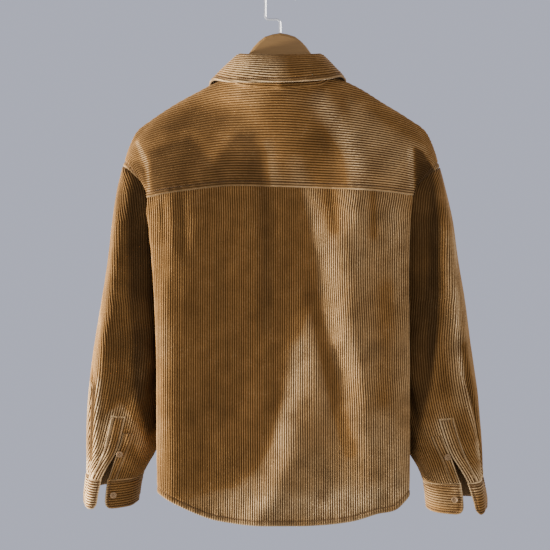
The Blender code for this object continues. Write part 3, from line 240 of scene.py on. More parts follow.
CUFF_GAP = 0.0008       # the cuff stops this far short of its seam line

# Top edge of each cuff: its mean level, its rise to the outside and its drop to the back. The
# cuff falls further at the back than at its sides, and its outer end spreads toward its lower edge.
CuffEdge = namedtuple("CuffEdge", "level rise drop fall_back fall_side spread")
CUFF_EDGES = {"left": CuffEdge(-0.8195, 0.0066, 0.0125, 0.0520, 0.0455, 0.004),
              "right": CuffEdge(-0.8326, 0.0060, 0.0030, 0.0550, 0.0430, 0.010)}

# Pleats and folds of the sleeves, by the share of the way round.
ARM_FOLD = "share_top z_top share_low z_low width height"
ARM_FOLDS = {
    "left": rows_of(ARM_FOLD, [
        (0.416, -0.640, 0.441, -0.870, 0.0050, -0.0140),  # pleat above the cuff
        (0.180, -0.330, 0.300, -0.640, 0.0200, 0.0040),
        (0.330, -0.520, 0.200, -0.700, 0.0180, -0.0040),
        (0.120, -0.600, 0.230, -0.790, 0.0140, 0.0045),
        (0.620, -0.480, 0.760, -0.700, 0.0200, -0.0060),
        (0.860, -0.640, 0.700, -0.820, 0.0180, 0.0050),
        (0.140, -0.360, 0.200, -0.520, 0.0100, -0.0028),
        (0.250, -0.400, 0.320, -0.620, 0.0120, 0.0026),
        (0.080, -0.640, 0.160, -0.760, 0.0090, -0.0030),
        (0.330, -0.640, 0.345, -0.820, 0.0060, -0.0030),
    ]),
    "right": rows_of(ARM_FOLD, [
        (0.335, -0.620, 0.493, -0.862, 0.0050, -0.0140),
        (0.325, -0.480, 0.345, -0.700, 0.0080, -0.0040),
        (0.200, -0.330, 0.310, -0.620, 0.0200, 0.0040),
        (0.300, -0.560, 0.220, -0.720, 0.0180, -0.0035),
        (0.110, -0.620, 0.200, -0.800, 0.0140, 0.0040),
        (0.640, -0.470, 0.740, -0.720, 0.0200, -0.0060),
        (0.850, -0.650, 0.720, -0.830, 0.0180, 0.0050),
        (0.150, -0.370, 0.210, -0.540, 0.0100, -0.0028),
        (0.260, -0.420, 0.330, -0.640, 0.0120, 0.0026),
        (0.090, -0.650, 0.150, -0.780, 0.0090, -0.0030),
        (0.335, -0.560, 0.350, -0.800, 0.0060, -0.0028),
    ]),
}

# ---------------------------------------------------------------- collar, by turn from the back
COLLARS = rows_of("turn fold_x fold_y fold_z edge_x edge_y edge_z", [
    (0, 0.0000, -0.0500, -0.1345, 0.0000, -0.0690, -0.1780),
    (45, 0.0540, -0.0370, -0.1325, 0.0780, -0.0600, -0.1745),
    (90, 0.0700, -0.0020, -0.1305, 0.1130, -0.0100, -0.1665),
    (125, 0.0630, 0.0330, -0.1520, 0.1130, 0.0480, -0.1960),
    (155, 0.0370, 0.0560, -0.1870, 0.0900, 0.0900, -0.2480),
    (176, 0.0060, 0.0640, -0.2160, 0.0520, 0.1060, -0.2880),
])
COLLAR_END = 176
LEAF_LEAN_X = -0.0040   # the leaf's edge leans to the left,
LEAF_LEAN_Z = 0.0026    # and lies higher at the right and lower at the left
LEAN_TURN = 60          # turn over which both come in
LEAF_BELLY = 0.0040     # how far the leaf bellies out at the back, between its fold and its edge
LEAF_BELLY_SIDE = 0.0005
STAND_THICK = 0.0024

# ---------------------------------------------------------------- front band and buttons
BAND_HALF = 0.0185
BAND_PROUD = 0.0008     # the band's outer face stands this far off the fronts
BAND_THICK = 0.0026
BAND_DIP = 0.0026       # how far the right front steps in to pass behind the band
BAND_STEP = 0.0060      # width over which it steps in
BAND_LAP = 0.0150       # how far past the centre line it reaches behind the band
BUTTON_RADIUS = 0.00575
BUTTON_THICK = 0.0026

Sheet = namedtuple("Sheet", "levels shares points")


def smooth(t):
    t = np.clip(t, 0.0, 1.0)
    return t * t * (3.0 - 2.0 * t)


def mix(a, b, t):
    return a + (b - a) * t


def through(knots, values, at):
    """Read a smooth curve through the values at rising knots."""
    knots = np.asarray(knots, float)
    values = np.asarray(values, float)
    flat = values.ndim == 1
    if flat:
        values = values[:, None]
    step = np.diff(knots)
    slope = np.diff(values, axis=0) / step[:, None]
    tangent = np.empty_like(values)
    tangent[0] = slope[0]
    tangent[-1] = slope[-1]
    weight = (step[1:] / (step[:-1] + step[1:]))[:, None]
    tangent[1:-1] = slope[:-1] * weight + slope[1:] * (1.0 - weight)
    at = np.clip(np.asarray(at, float), knots[0], knots[-1])
    i = np.clip(np.searchsorted(knots, at, side="right") - 1, 0, len(step) - 1)
    h = step[i][..., None]
    t = (at - knots[i])[..., None] / h
    out = (values[i] * (1 + 2 * t) * (1 - t) ** 2 + tangent[i] * h * t * (1 - t) ** 2
           + values[i + 1] * t * t * (3 - 2 * t) + tangent[i + 1] * h * t * t * (t - 1))
    return out[..., 0] if flat else out


def column(table, name):
    return [getattr(row, name) for row in table]


def side_name(side):
    return "left" if side < 0 else "right"


def read(table, key, name, at):
    """Read one column of a table smoothly at a place along its key column."""
    keys = np.array(column(table, key), float)
    order = np.argsort(keys)
    return through(keys[order], np.array(column(table, name), float)[order], at)


def even(points, count):
    """The same curve with a number of points at equal distances."""
    points = np.asarray(points, float)
    chord = np.concatenate([[0], np.cumsum(np.linalg.norm(np.diff(points, axis=0), axis=1))])
    fine = through(chord, points, np.linspace(0, chord[-1], 12 * len(points)))
    run = np.concatenate([[0], np.cumsum(np.linalg.norm(np.diff(fine, axis=0), axis=1))])
    at = np.linspace(0, run[-1], count)
    return np.stack([np.interp(at, run, fine[:, k]) for k in range(fine.shape[1])], axis=1)


def fold_height(folds, x, z):
    """Height of all folds at a place on the back or the front."""
    total = np.zeros_like(x)
    for fold in folds:
        run = (fold.z_top - z) / (fold.z_top - fold.z_low)
        centre = mix(fold.x_top, fold.x_low, run) + fold.bow * 4 * run * (1 - run)
        ends = smooth(run / FOLD_END) * smooth((1 - run) / FOLD_END)
        total += fold.height * ends * np.exp(-((x - centre) / fold.width) ** 2)
    return total


def body_level(z, face):
    """One level of the back (face -1) or the front (face 1), from the left side to the right."""
    rise = np.clip((z - UNDERARM_Z) / (CHEST_Z - UNDERARM_Z), 0.0, 1.0)
    side_x = mix(SIDE_X, UNDERARM_X, smooth((z - WAIST_Z) / WAIST_RUN))
    side_x = mix(side_x, CHEST_X, rise)
    stand_off = ARMHOLE_BACK_Y if face < 0 else ARMHOLE_FRONT_Y
    side_y = face * stand_off * rise ** 0.6
    depth = face * read(GIRTHS, "z", "back_y" if face < 0 else "front_y", z)
    halves = []
    for name in ("left", "right"):
        edge = read(GIRTHS, "z", "back_" + name if face < 0 else "front_half", z)
        edge_y = EDGE_DEPTH * depth
        points = [(x * edge, y * depth) for x, y in ACROSS]
        points += [(mix(edge, side_x, x), mix(edge_y, side_y, y)) for x, y in TURN_IN]
        half = even(points, HALF + 1)
        if name == "left":
            half = (half * (-1, 1))[::-1]
        halves.append(half)
    line = np.concatenate([halves[0][:-1], halves[1]])
    return np.column_stack([line, np.full(len(line), z)])


def neck_point(turn):
    turn = np.asarray(turn, float)
    side = np.sign(turn)
    place = np.stack([read(NECKS, "turn", n, np.abs(turn)) for n in ("x", "y", "z")], axis=-1)
    place[..., 0] *= side
    return place


def shoulder_line(side, count):
    name = side_name(side)
    rows = [(side * getattr(r, name), 0.0, getattr(r, name + "_z")) for r in SHOULDERS]
    line = even(rows, count)
    line[:, 1] = SHOULDER_Y * smooth(np.linspace(-1, 1, count))
    return line


def body_top(shares, face):
    """Where each column ends, on the neck seam or the shoulder line, and its direction there."""
    ends = np.zeros((len(shares), 3))
    ways = np.zeros((len(shares), 3))
    lines = {side: shoulder_line(side, SHOULDER_POINTS) for side in (-1, 1)}
    lean = BACK_LEAN if face < 0 else FRONT_LEAN
    for i, share in enumerate(shares):
        side = -1 if share < 0 else 1
        k = abs(share)
        corner = np.array(SLANT) * (side, face, 1)
        if k < NECK_SHARE:
            run = k / NECK_SHARE
            turn = 90 * run if face < 0 else 180 - 90 * run
            ends[i] = neck_point(side * max(turn, 1e-6))
            way = mix(np.array([0, -face * lean, 0.95]), corner, smooth(run))
            reach = mix(REACH, CORNER_REACH, run)
        else:
            run = (k - NECK_SHARE) / (1 - NECK_SHARE)
            line = lines[side]
            ends[i] = [np.interp(run, np.linspace(0, 1, len(line)), line[:, c]) for c in range(3)]
            way = mix(corner, np.array([0.0, -face, 0.0]), smooth(run / 0.2))
            reach = mix(CORNER_REACH, REACH, smooth((run - 0.78) / 0.22))
        ways[i] = way / np.linalg.norm(way) * reach
    return ends, ways


def body_sheet(face):
    """The back or the front from below its hem (by z) to its top edge (by share, past CHEST_Z)."""
    shares = np.linspace(-1, 1, 2 * HALF + 1)
    low = np.linspace(HEM_LOW_Z, CHEST_Z, LOW_LEVELS)
    rows = [body_level(z, face) for z in low]
    foot = rows[-1]
    rise = 0.02
    slope = (foot - body_level(CHEST_Z - rise, face)) / rise
    top, way = body_top(shares, face)
    reach = np.linalg.norm(top - foot, axis=1) * 0.9 * (1 + 0.5 * smooth((abs(shares) - 0.8) / 0.2))
    start = slope * reach[:, None]
    climb = np.linspace(0, 1, HIGH_LEVELS)[1:]
    for t in climb:
        rows.append(foot * (1 + 2 * t) * (1 - t) ** 2 + start * t * (1 - t) ** 2
                    + top * t * t * (3 - 2 * t) + way * t * t * (t - 1))
    points = np.array(rows)
    levels = np.concatenate([low, CHEST_Z + climb])
    folds = BACK_FOLDS if face < 0 else FRONT_FOLDS
    height = fold_height(folds, points[..., 0], points[..., 2])
    side_fade = smooth((1 - abs(shares)) / SIDE_FADE)[None, :]
    top_fade = smooth((CHEST_Z + 1 - levels) / TOP_FADE)[:, None]
    points[..., 1] += face * height * side_fade * top_fade
    return Sheet(levels, shares, points)


def sample(sheet, level, share):
    """Points of a dense sheet at the given levels and shares."""
    level = np.clip(level, sheet.levels[0], sheet.levels[-1])
    share = np.clip(share, sheet.shares[0], sheet.shares[-1])
    i = np.clip(np.searchsorted(sheet.levels, level, side="right") - 1, 0, len(sheet.levels) - 2)
    j = np.clip(np.searchsorted(sheet.shares, share, side="right") - 1, 0, len(sheet.shares) - 2)
    s = ((level - sheet.levels[i]) / (sheet.levels[i + 1] - sheet.levels[i]))[..., None]
    t = ((share - sheet.shares[j]) / (sheet.shares[j + 1] - sheet.shares[j]))[..., None]
    p = sheet.points
    return mix(mix(p[i, j], p[i, j + 1], t), mix(p[i + 1, j], p[i + 1, j + 1], t), s)


def outward(sheet, level, share, face):
    """Unit normals of a dense sheet, pointing out of the garment."""
    step = 0.008
    up = sample(sheet, level + step, share) - sample(sheet, level - step, share)
    over = sample(sheet, level, share + step) - sample(sheet, level, share - step)
    normal = np.cross(up, over) * face
    return normal / np.maximum(np.linalg.norm(normal, axis=-1, keepdims=True), 1e-12)


def level_at(sheet, shares, heights):
    """The level at which each column of a body sheet climbs to a height."""
    found = []
    for share, height in zip(np.ravel(shares), np.ravel(heights)):
        z = sample(sheet, sheet.levels, np.full(len(sheet.levels), share))[:, 2]
        found.append(np.interp(height, z, sheet.levels))
    return np.array(found).reshape(np.shape(shares))


def by_side(table, shares, left, right):
    """Read a table's left or right column for each signed share."""
    far = np.abs(shares)
    return np.where(shares < 0, read(table, "share", left, far), read(table, "share", right, far))


def arm_level(z, side, back_edge, front_edge):
    """One level of a sleeve, from the armhole or underarm by the back to the front."""
    name = side_name(side)
    outer = float(read(ARMS, "z", "outer_" + name, z))
    back = -float(read(ARMS, "z", "back_y", z))
    front = float(read(ARMS, "z", "front_y", z))
    if z > UNDERARM_Z:
        ends = []
        for edge in (back_edge, front_edge):
            ends.append([np.interp(z, edge[:, 2], np.abs(edge[:, 0])),
                         np.interp(z, edge[:, 2], edge[:, 1])])
        (back_x, back_end), (front_x, front_end) = ends
        tip = back_edge[-1, 2]
        back = mix(back_end, back, smooth((tip - z) / TIP_FADE))
        front = mix(front_end, front, smooth((tip - z) / TIP_FADE))
    else:
        back_x = front_x = float(read(ARMS, "z", "inner_" + name, z))
        back_end = front_end = 0.012 * smooth((UNDERARM_Z - z) / 0.08)
    outer_y = mix(SHOULDER_Y, OUTER_Y, smooth((ARMS[0].z - z) / 0.05))
    crest = smooth((CREST_TOP_Z - z) / CREST_RUN)
    seam = smooth((z - UNDERARM_Z + 0.055) / 0.075)
    near = mix(0.342, 0.10, seam)
    next_near = mix(TURN_RISE, 0.42, seam)
    back_w = outer - back_x
    front_w = outer - front_x
    points = [(back_x, back_end),
              (back_x + SEAM_POINT * back_w, mix(back_end, back, near)),
              (back_x + TURN_LOW * back_w, mix(back_end, back, next_near)),
              (back_x + 0.500 * back_w, back * mix(1.0, 0.90, crest)),
              (back_x + 0.700 * back_w, back * mix(0.94, 1.01, crest)),
              (back_x + mix(TURN_HIGH, 0.860, crest) * back_w,
               mix(mix(outer_y, back, TURN_RISE), back * 1.06, crest)),
              (back_x + mix(0.950, 0.962, crest) * back_w,
               mix(outer_y, back, mix(0.42, 0.62, crest))),
              (outer, outer_y),
              (front_x + TURN_HIGH * front_w, mix(outer_y, front, TURN_RISE)),
              (front_x + 0.500 * front_w, front),
              (front_x + TURN_LOW * front_w, mix(front_end, front, next_near)),
              (front_x + SEAM_POINT * front_w, mix(front_end, front, near)),
              (front_x, front_end)]
    line = even(points, ROUND + 1)
    line[:, 0] *= side
    line[:, 1] += read(SWINGS, "z", name, z)
    return np.column_stack([line, np.full(len(line), z)])


def arm_sheet(side, back, front):
    """A whole sleeve with its cuff, from the shoulder tip down past the cuff."""
    edge_levels = {}
    for key, body in (("back", back), ("front", front)):
        edge = sample(body, body.levels, np.full(len(body.levels), float(side)))
        edge_levels[key] = edge[edge[:, 2] >= UNDERARM_Z - 0.001]
    tip = edge_levels["back"][-1, 2]
    upper = tip + (UNDERARM_Z - tip) * np.linspace(0, 1, UPPER_LEVELS) ** UPPER_POWER
    lower = np.linspace(UNDERARM_Z, ARM_END_Z, LOWER_LEVELS)[1:]
    levels = np.concatenate([upper, lower])[::-1]
    rows = np.array([arm_level(z, side, edge_levels["back"], edge_levels["front"]) for z in levels])
    shares = np.linspace(0, 1, ROUND + 1)
    centre = rows.mean(axis=1, keepdims=True)
    girth = np.linalg.norm(np.diff(rows, axis=1), axis=2).sum(axis=1)[:, None]
    height = np.zeros(rows.shape[:2])
    for fold in ARM_FOLDS[side_name(side)]:
        along = (fold.z_top - levels[:, None]) / (fold.z_top - fold.z_low)
        off = (shares[None, :] - mix(fold.share_top, fold.share_low, along)) * girth
        ends = smooth(along / FOLD_END) * smooth((1 - along) / FOLD_END)
        height += fold.height * ends * np.exp(-(off / fold.width) ** 2)
    seam_fade = smooth(shares / ARM_FADE) * smooth((1 - shares) / ARM_FADE)
    away = rows - centre
    away[..., 2] = 0
    away /= np.maximum(np.linalg.norm(away, axis=-1, keepdims=True), 1e-9)
    rows = rows + away * (height * seam_fade)[..., None]
    return Sheet(levels, shares, rows)


def arm_share(name, share, z):
    """Share round the dense sleeve of a column, turned outward toward the cuff by the slit."""
    top = cuff_top(name, share)
    turn = TWIST * np.clip((top + TWIST_HEIGHT - z) / TWIST_HEIGHT, 0, 1) ** TWIST_POWER
    return share + turn * smooth(share / 0.2) * smooth((1 - share) / 0.5)


def cuff_top(name, share):
    edge = CUFF_EDGES[name]
    angle = 2 * math.pi * (0.5 - np.asarray(share, float))
    return edge.level + edge.rise * np.cos(angle) - edge.drop * np.sin(angle)


def cuff_fall(name, share):
    """How far the cuff reaches down at a share: further at the back than at its sides."""
    edge = CUFF_EDGES[name]
    toward_back = 0.5 + 0.5 * np.sin(2 * math.pi * (0.5 - np.asarray(share, float)))
    return mix(edge.fall_side, edge.fall_back, toward_back ** 2)


def front_seam_share(shares):
    """How much of each front column the yoke covers: none inside the neck end of its seam."""
    run = np.clip((np.abs(shares) - FRONT_SEAM_NECK) / (NECK_SHARE - FRONT_SEAM_NECK), 0, 1)
    return FRONT_SEAM_DROP * smooth(0.5 + 0.5 * run) * run


def front_seam_gap(shares):
    """The front yoke seam's gap on either side, as a share of a column, wider at the neck."""
    run = (np.abs(shares) - FRONT_SEAM_NECK) / FRONT_GAP_RUN
    return mix(FRONT_GAP_NECK, FRONT_GAP, smooth(run))


def share_at_x(sheet, levels, x):
    """The share at which each level of a body sheet reaches a distance from the centre line."""
    levels, x = np.broadcast_arrays(levels, x)
    found = np.empty(levels.shape)
    for i, (level, reach) in enumerate(zip(levels.ravel(), x.ravel())):
        line = sample(sheet, np.full(len(sheet.shares), level), sheet.shares)[:, 0]
        found.ravel()[i] = np.interp(reach, line, sheet.shares)
    return found


def collar_point(turn, kind):
    turn = np.asarray(turn, float)
    names = [kind + "_x", kind + "_y", kind + "_z"]
    place = np.stack([read(COLLARS, "turn", n, np.abs(turn)) for n in names], axis=-1)
    place[..., 0] *= np.sign(turn)
    if kind == "edge":
        place[..., 0] += LEAF_LEAN_X * smooth(np.abs(turn) / LEAN_TURN)
        place[..., 2] += LEAF_LEAN_Z * np.sign(turn) * smooth(np.abs(turn) / LEAN_TURN)
    return place


def leaf_belly(turn):
    return mix(LEAF_BELLY, LEAF_BELLY_SIDE, smooth((np.abs(turn) - 30) / 60))


def cuff_rise(shares):
    """How far the rounded corners beside the slit lift the cuff's lower edge."""
    corner = np.minimum(shares - SLIT, SLIT + 1.0 - shares) * CUFF_GIRTH
    inside = np.clip(CUFF_CORNER - corner, 0, CUFF_CORNER)
    return CUFF_CORNER - np.sqrt(CUFF_CORNER ** 2 - inside ** 2)


def cuff_rows(name, shares, rows):
    """Levels and sleeve shares of a cuff: columns run from the slit by the outside, once round."""
    wrapped = np.mod(shares - 1e-9, 1.0)
    top = cuff_top(name, wrapped) - CUFF_GAP
    fall = cuff_fall(name, wrapped)
    rows_z = mix(top - fall + cuff_rise(shares), top, rows[:, None])
    near_start = smooth(1 - (shares - SLIT) / GAPE_FADE)
    near_end = smooth(1 - (SLIT + 1.0 - shares) / GAPE_FADE)
    spread = CUFF_EDGES[name].spread * near_start * (top - rows_z) / fall
    gape = SLIT_HALF_GAP * (near_start - near_end) + spread
    return rows_z, arm_share(name, wrapped, top) + gape / CUFF_GIRTH


# ================================================================ scene: ribbed shells
PITCH = 0.0043          # from one wale to the next, on the yoke, collar and cuffs
BODY_PITCH = 0.00375    # the same on the panels, which are stretched less
SLEEVE_PITCH = 0.0040
PHASES = np.array([0.0, 0.20, 0.5, 0.80])
PILE_POWER = 2.0        # how flat the top of a wale is
RIDGE = 0.00170         # height of a wale over its valleys
VALLEY = -0.0005        # the valleys lie this far under the solid's surface
STEP = 0.0095           # from one row of points to the next, along the wales
WAVES = 6               # sine waves that add up to an uneven value,
WAVE_SIZES = (0.6, 1.8)     # the range of their sizes,
WAVE_SUM = 2.6          # and what brings their sum to about 1
PRESSED_PILE = 0.55     # how much of its colour a pressed wale keeps
PILE_UNEVEN = 0.10      # how much the wales' height varies,
PILE_PATCH = 0.05       # over patches of this size
BAND_BLUR = 0.0024      # width over which the raised band along an edge comes in
BAND_WORN = 0.08        # how worn that band is, beside its fold
GROOVE_HALF = 0.0011    # half width of the groove that a row of stitches draws in,
GROOVE_PRESS = 0.6      # and how far it presses the wales down
PUCKER = 0.0005         # height of the pucker beside it,
PUCKER_HALF = 0.007     # its half width
PUCKER_PATCH = 0.014    # and the size of its bumps
SINK_HALF = 0.0016      # width over which an edge turns down
JOIN = 2e-5             # points of two patches that lie this close are one
# A point's tone: its painted light and shade with a little uneven tone, how worn it is, and 1 on the
# inside of the cloth.
INSIDE_TONE = (1.0, 0.0, 1.0)

# An edge's row of stitches, by its distance from it, the height of the band outside it, the depth
# of its groove, how flat the band's wales are pressed, and how far the edge itself turns down and
# how wide its pile is worn.
Edge = namedtuple("Edge", "stitch lift groove flat sink worn", defaults=[0.0014])
HEM_EDGE = Edge(0.0085, 0.0008, 0.0011, 0.30, 0.0008)
YOKE_EDGE = Edge(0.0085, 0.0009, 0.0012, 0.12, 0.0006)
ARM_EDGE = Edge(0.0065, 0.0008, 0.0009, 0.35, 0.0006)
TUCKED = Edge(0.0, 0.0, 0.0, 0.0, 0.0012)         # an edge that lies under another piece
CUFF_EDGE = Edge(0.0050, 0.0003, 0.0008, 0.30, 0.0007)
LEAF_EDGE = Edge(0.0060, 0.0004, 0.0008, 0.30, 0.0007)
PLAIN = Edge(0.0, 0.0, 0.0, 0.0, 0.0)
SLEEVE_EDGE = Edge(0.0, 0.0, 0.0, 0.0, 0.0010)
SLIT_EDGE = Edge(0.0, 0.0, 0.0, 0.0, 0.0006)
UNDERARM_EDGE = Edge(0.0, 0.0, 0.0, 0.0, 0.0005)


def uneven(u, s, seed, size):
    """A smooth uneven value of about -1 to 1 over two coordinates."""
    rng = np.random.default_rng(seed)
    total = np.zeros(np.broadcast(u, s).shape)
    for _ in range(WAVES):
        angle = rng.uniform(0, math.pi)
        wave = 2 * math.pi / (size * rng.uniform(*WAVE_SIZES))
        phase = rng.uniform(0, 2 * math.pi)
        total += np.sin(wave * (u * math.cos(angle) + s * math.sin(angle)) + phase)
    return total / WAVE_SUM


def comb(curves, stations):
    """Read every curve at the stations, held to its own ends: the table, and each point's number."""
    count = len(stations)
    table = np.empty((len(curves), count, curves[0][1].shape[1]))
    ids = np.empty((len(curves), count), int)
    finals = np.empty(len(curves), int)
    for r, (run, values) in enumerate(curves):
        at = np.clip(stations, run[0], run[-1])
        for c in range(values.shape[1]):
            table[r, :, c] = np.interp(at, run, values[:, c])
        first = max(np.searchsorted(stations, run[0], "right") - 1, 0)
        finals[r] = min(np.searchsorted(stations, run[-1], "left"), count - 1)
        ids[r] = r * count + np.clip(np.arange(count), first, finals[r])
    return table, ids, finals


def grid_triangles(ids):
    a, b = ids[:-1, :-1].ravel(), ids[:-1, 1:].ravel()
    d, e = ids[1:, 1:].ravel(), ids[1:, :-1].ravel()
    three = np.concatenate([np.stack([a, b, d], 1), np.stack([a, d, e], 1)])
    return distinct(three)


def distinct(three):
    keep = (three[:, 0] != three[:, 1]) & (three[:, 1] != three[:, 2]) & (three[:, 0] != three[:, 2])
    return three[keep]


def open_edges(three):
    """Directed edges that have no neighbour."""
    edges = np.concatenate([three[:, (0, 1)], three[:, (1, 2)], three[:, (2, 0)]])
    size = three.max() + 1
    code = edges[:, 0] * size + edges[:, 1]
    back = edges[:, 1] * size + edges[:, 0]
    return edges[~np.isin(code, back)]


def merge(points, three):
    """Number that each point takes once the points of the open edges that coincide are joined."""
    number = np.arange(len(points))
    rim = np.unique(open_edges(three))
    tree = KDTree(len(rim))
    for i in rim:
        tree.insert(points[i], int(i))
    tree.balance()
    for i in rim:
        for _, j, _ in tree.find_range(points[i], JOIN):
            if j < i:
                number[i] = min(number[i], number[j])
    return number


def point_normals(points, three):
    a, b, c = (points[three[:, k]] for k in range(3))
    face = np.cross(b - a, c - a)
    normals = np.zeros_like(points)
    for k in range(3):
        np.add.at(normals, three[:, k], face)
    return normals / np.maximum(np.linalg.norm(normals, axis=1, keepdims=True), 1e-12)


def pile_shape(run, pitch):
    """Height of the pile across a wale, 0 in the valley and 1 on the ridge."""
    part = np.mod(run / pitch, 1.0)
    return 1.0 - np.abs(2 * part - 1) ** PILE_POWER


def new_object(name, points, faces, look):
    """A smooth object of one material in the scene."""
    mesh = bpy.data.meshes.new(name)
    mesh.from_pydata(points, [], faces)
    mesh.shade_smooth()
    mesh.materials.append(look)
    made = bpy.data.objects.new(name, mesh)
    bpy.context.collection.objects.link(made)
    return made


def shell(name, patches, edges, centre, thickness, tone, seed, pitch=PITCH):
    """A closed shell of ribbed cloth.

    Each patch is a list of curves across the wales: (run, table), where run rises along the
    curve and a table row holds x, y, z, the place along the wale and the distance to each edge.
    The centre, in x and y, lies inside the piece.
    """
    tables, threes, inner_points, inner_threes, links = [], [], [], [], []
    start, inner_start = 0, 0
    for curves in patches:
        low = math.floor(min(run[0] for run, _ in curves) / pitch + 1e-6)
        high = math.ceil(max(run[-1] for run, _ in curves) / pitch - 1e-6)
        wales = np.arange(low, high)
        fine = np.concatenate([(wales[:, None] + PHASES[None, :]).ravel(), [high]]) * pitch
        full = [(run, np.column_stack([values, run])) for run, values in curves]
        table, ids, finals = comb(full, fine)
        inner, inner_ids, _ = comb(full, fine[::len(PHASES)])
        number = np.arange(len(fine))
        link = inner_ids[:, number // len(PHASES)]
        link = np.where(number[None, :] >= finals[:, None], inner_ids[:, -1:], link)
        tables.append(table.reshape(-1, table.shape[-1]))
        threes.append(grid_triangles(ids) + start)
        inner_points.append(inner.reshape(-1, inner.shape[-1])[:, :3])
        inner_threes.append(grid_triangles(inner_ids) + inner_start)
        links.append(link.ravel() + inner_start)
        start += len(tables[-1])
        inner_start += len(inner_points[-1])
    table = np.concatenate(tables)
    three = np.concatenate(threes)
    inner = np.concatenate(inner_points)
    inner_three = np.concatenate(inner_threes)
    link = np.concatenate(links)
    if len(patches) > 1:
        three = distinct(merge(table[:, :3], three)[three])
        number = merge(inner, inner_three)
        inner_three = distinct(number[inner_three])
        link = number[link]
    base = table[:, :3]
    normals = point_normals(base, three)
    away = base - np.array([centre[0], centre[1], 0])
    away[:, 2] = 0
    if (normals[three[:, 0]] * away[three[:, 0]]).sum() < 0:
        three = three[:, ::-1]
        inner_three = inner_three[:, ::-1]
        normals = -normals
    inner_normals = point_normals(inner, inner_three)

    u, s = table[:, 3], table[:, -1]
    pile = pile_shape(s, pitch) * (1 + PILE_UNEVEN * uneven(u, s, seed + 5, PILE_PATCH))
    height = np.zeros(len(table))
    worn = np.zeros(len(table))
    press = np.ones(len(table))
    for k, edge in enumerate(edges):
        d = table[:, 4 + k]
        if edge.stitch > 0:
            band = smooth((edge.stitch - d) / BAND_BLUR + 0.5)
            groove = np.exp(-((d - edge.stitch) / GROOVE_HALF) ** 2)
            pucker = uneven(u, s, seed + 40 + k, PUCKER_PATCH)
            height += edge.lift * band - edge.groove * groove
            height += PUCKER * pucker * np.exp(-((d - edge.stitch) / PUCKER_HALF) ** 2)
            # a stitch groove presses the wales down, and through the pile colour below it also darkens
            # them there as painted shade
            press *= (1 - edge.flat * band) * (1 - GROOVE_PRESS * groove)
            rubbed = BAND_WORN * band + (1 - BAND_WORN) * np.exp(-(d / edge.worn) ** 2)
            worn = np.maximum(worn, rubbed)
        height -= edge.sink * np.exp(-(d / SINK_HALF) ** 2)
    height += VALLEY + RIDGE * pile * press
    outer = base + normals * height[:, None]
    inner = inner - inner_normals * thickness

    rim = open_edges(three)
    shifted = link + len(outer)
    b, a = rim[:, 1], rim[:, 0]
    walls = distinct(np.concatenate([np.stack([b, a, shifted[a]], 1),
                                     np.stack([b, shifted[a], shifted[b]], 1)]))
    faces = np.concatenate([three, inner_three[:, ::-1] + len(outer), walls])
    used, faces = np.unique(faces, return_inverse=True)
    faces = faces.reshape(-1, 3)
    points = np.concatenate([outer, inner])
    # the shade is painted light and painted shade from the piece's table, with a little uneven tone
    shade = tone(base, normals, u, s)
    # the pile's colour falls where the wales are pressed; in a stitch groove this darkening is painted
    # shade
    wale = np.column_stack([u, s, np.clip(pile, 0, 1) * mix(PRESSED_PILE, 1.0, press)])
    wale = np.concatenate([wale, np.column_stack([inner[:, 2], inner[:, 0], np.ones(len(inner))])])
    tones = np.column_stack([shade, worn, np.zeros(len(outer))])
    tones = np.concatenate([tones, np.tile(INSIDE_TONE, (len(inner), 1))])
    made = new_object(name, points[used], faces.tolist(), cloth_look)
    for label, values in (("wale", wale), ("tone", tones)):
        data = made.data.attributes.new(label, "FLOAT_VECTOR", "POINT")
        data.data.foreach_set("vector", values[used].ravel())
    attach(made, "root")
    return made


def run_along(points, axis, dims=3):
    """Distance run along an axis of a grid of points."""
    step = np.linalg.norm(np.diff(points[..., :dims], axis=axis), axis=-1)
    start = np.zeros_like(np.take(step, [0], axis=axis))
    return np.concatenate([start, np.cumsum(step, axis=axis)], axis=axis)


def read_at(table, run, at):
    """Rows of a table of points at places along its run."""
    return np.stack([np.interp(at, run, values) for values in table.T], axis=-1)


def curves_of(points, run, u, distances):
    """Curves across the wales, one for each row of a grid of points."""
    rows = []
    for r in range(len(points)):
        table = np.column_stack([points[r], u[r]] + [d[r] for d in distances])
        rows.append((run[r], table))
    return rows
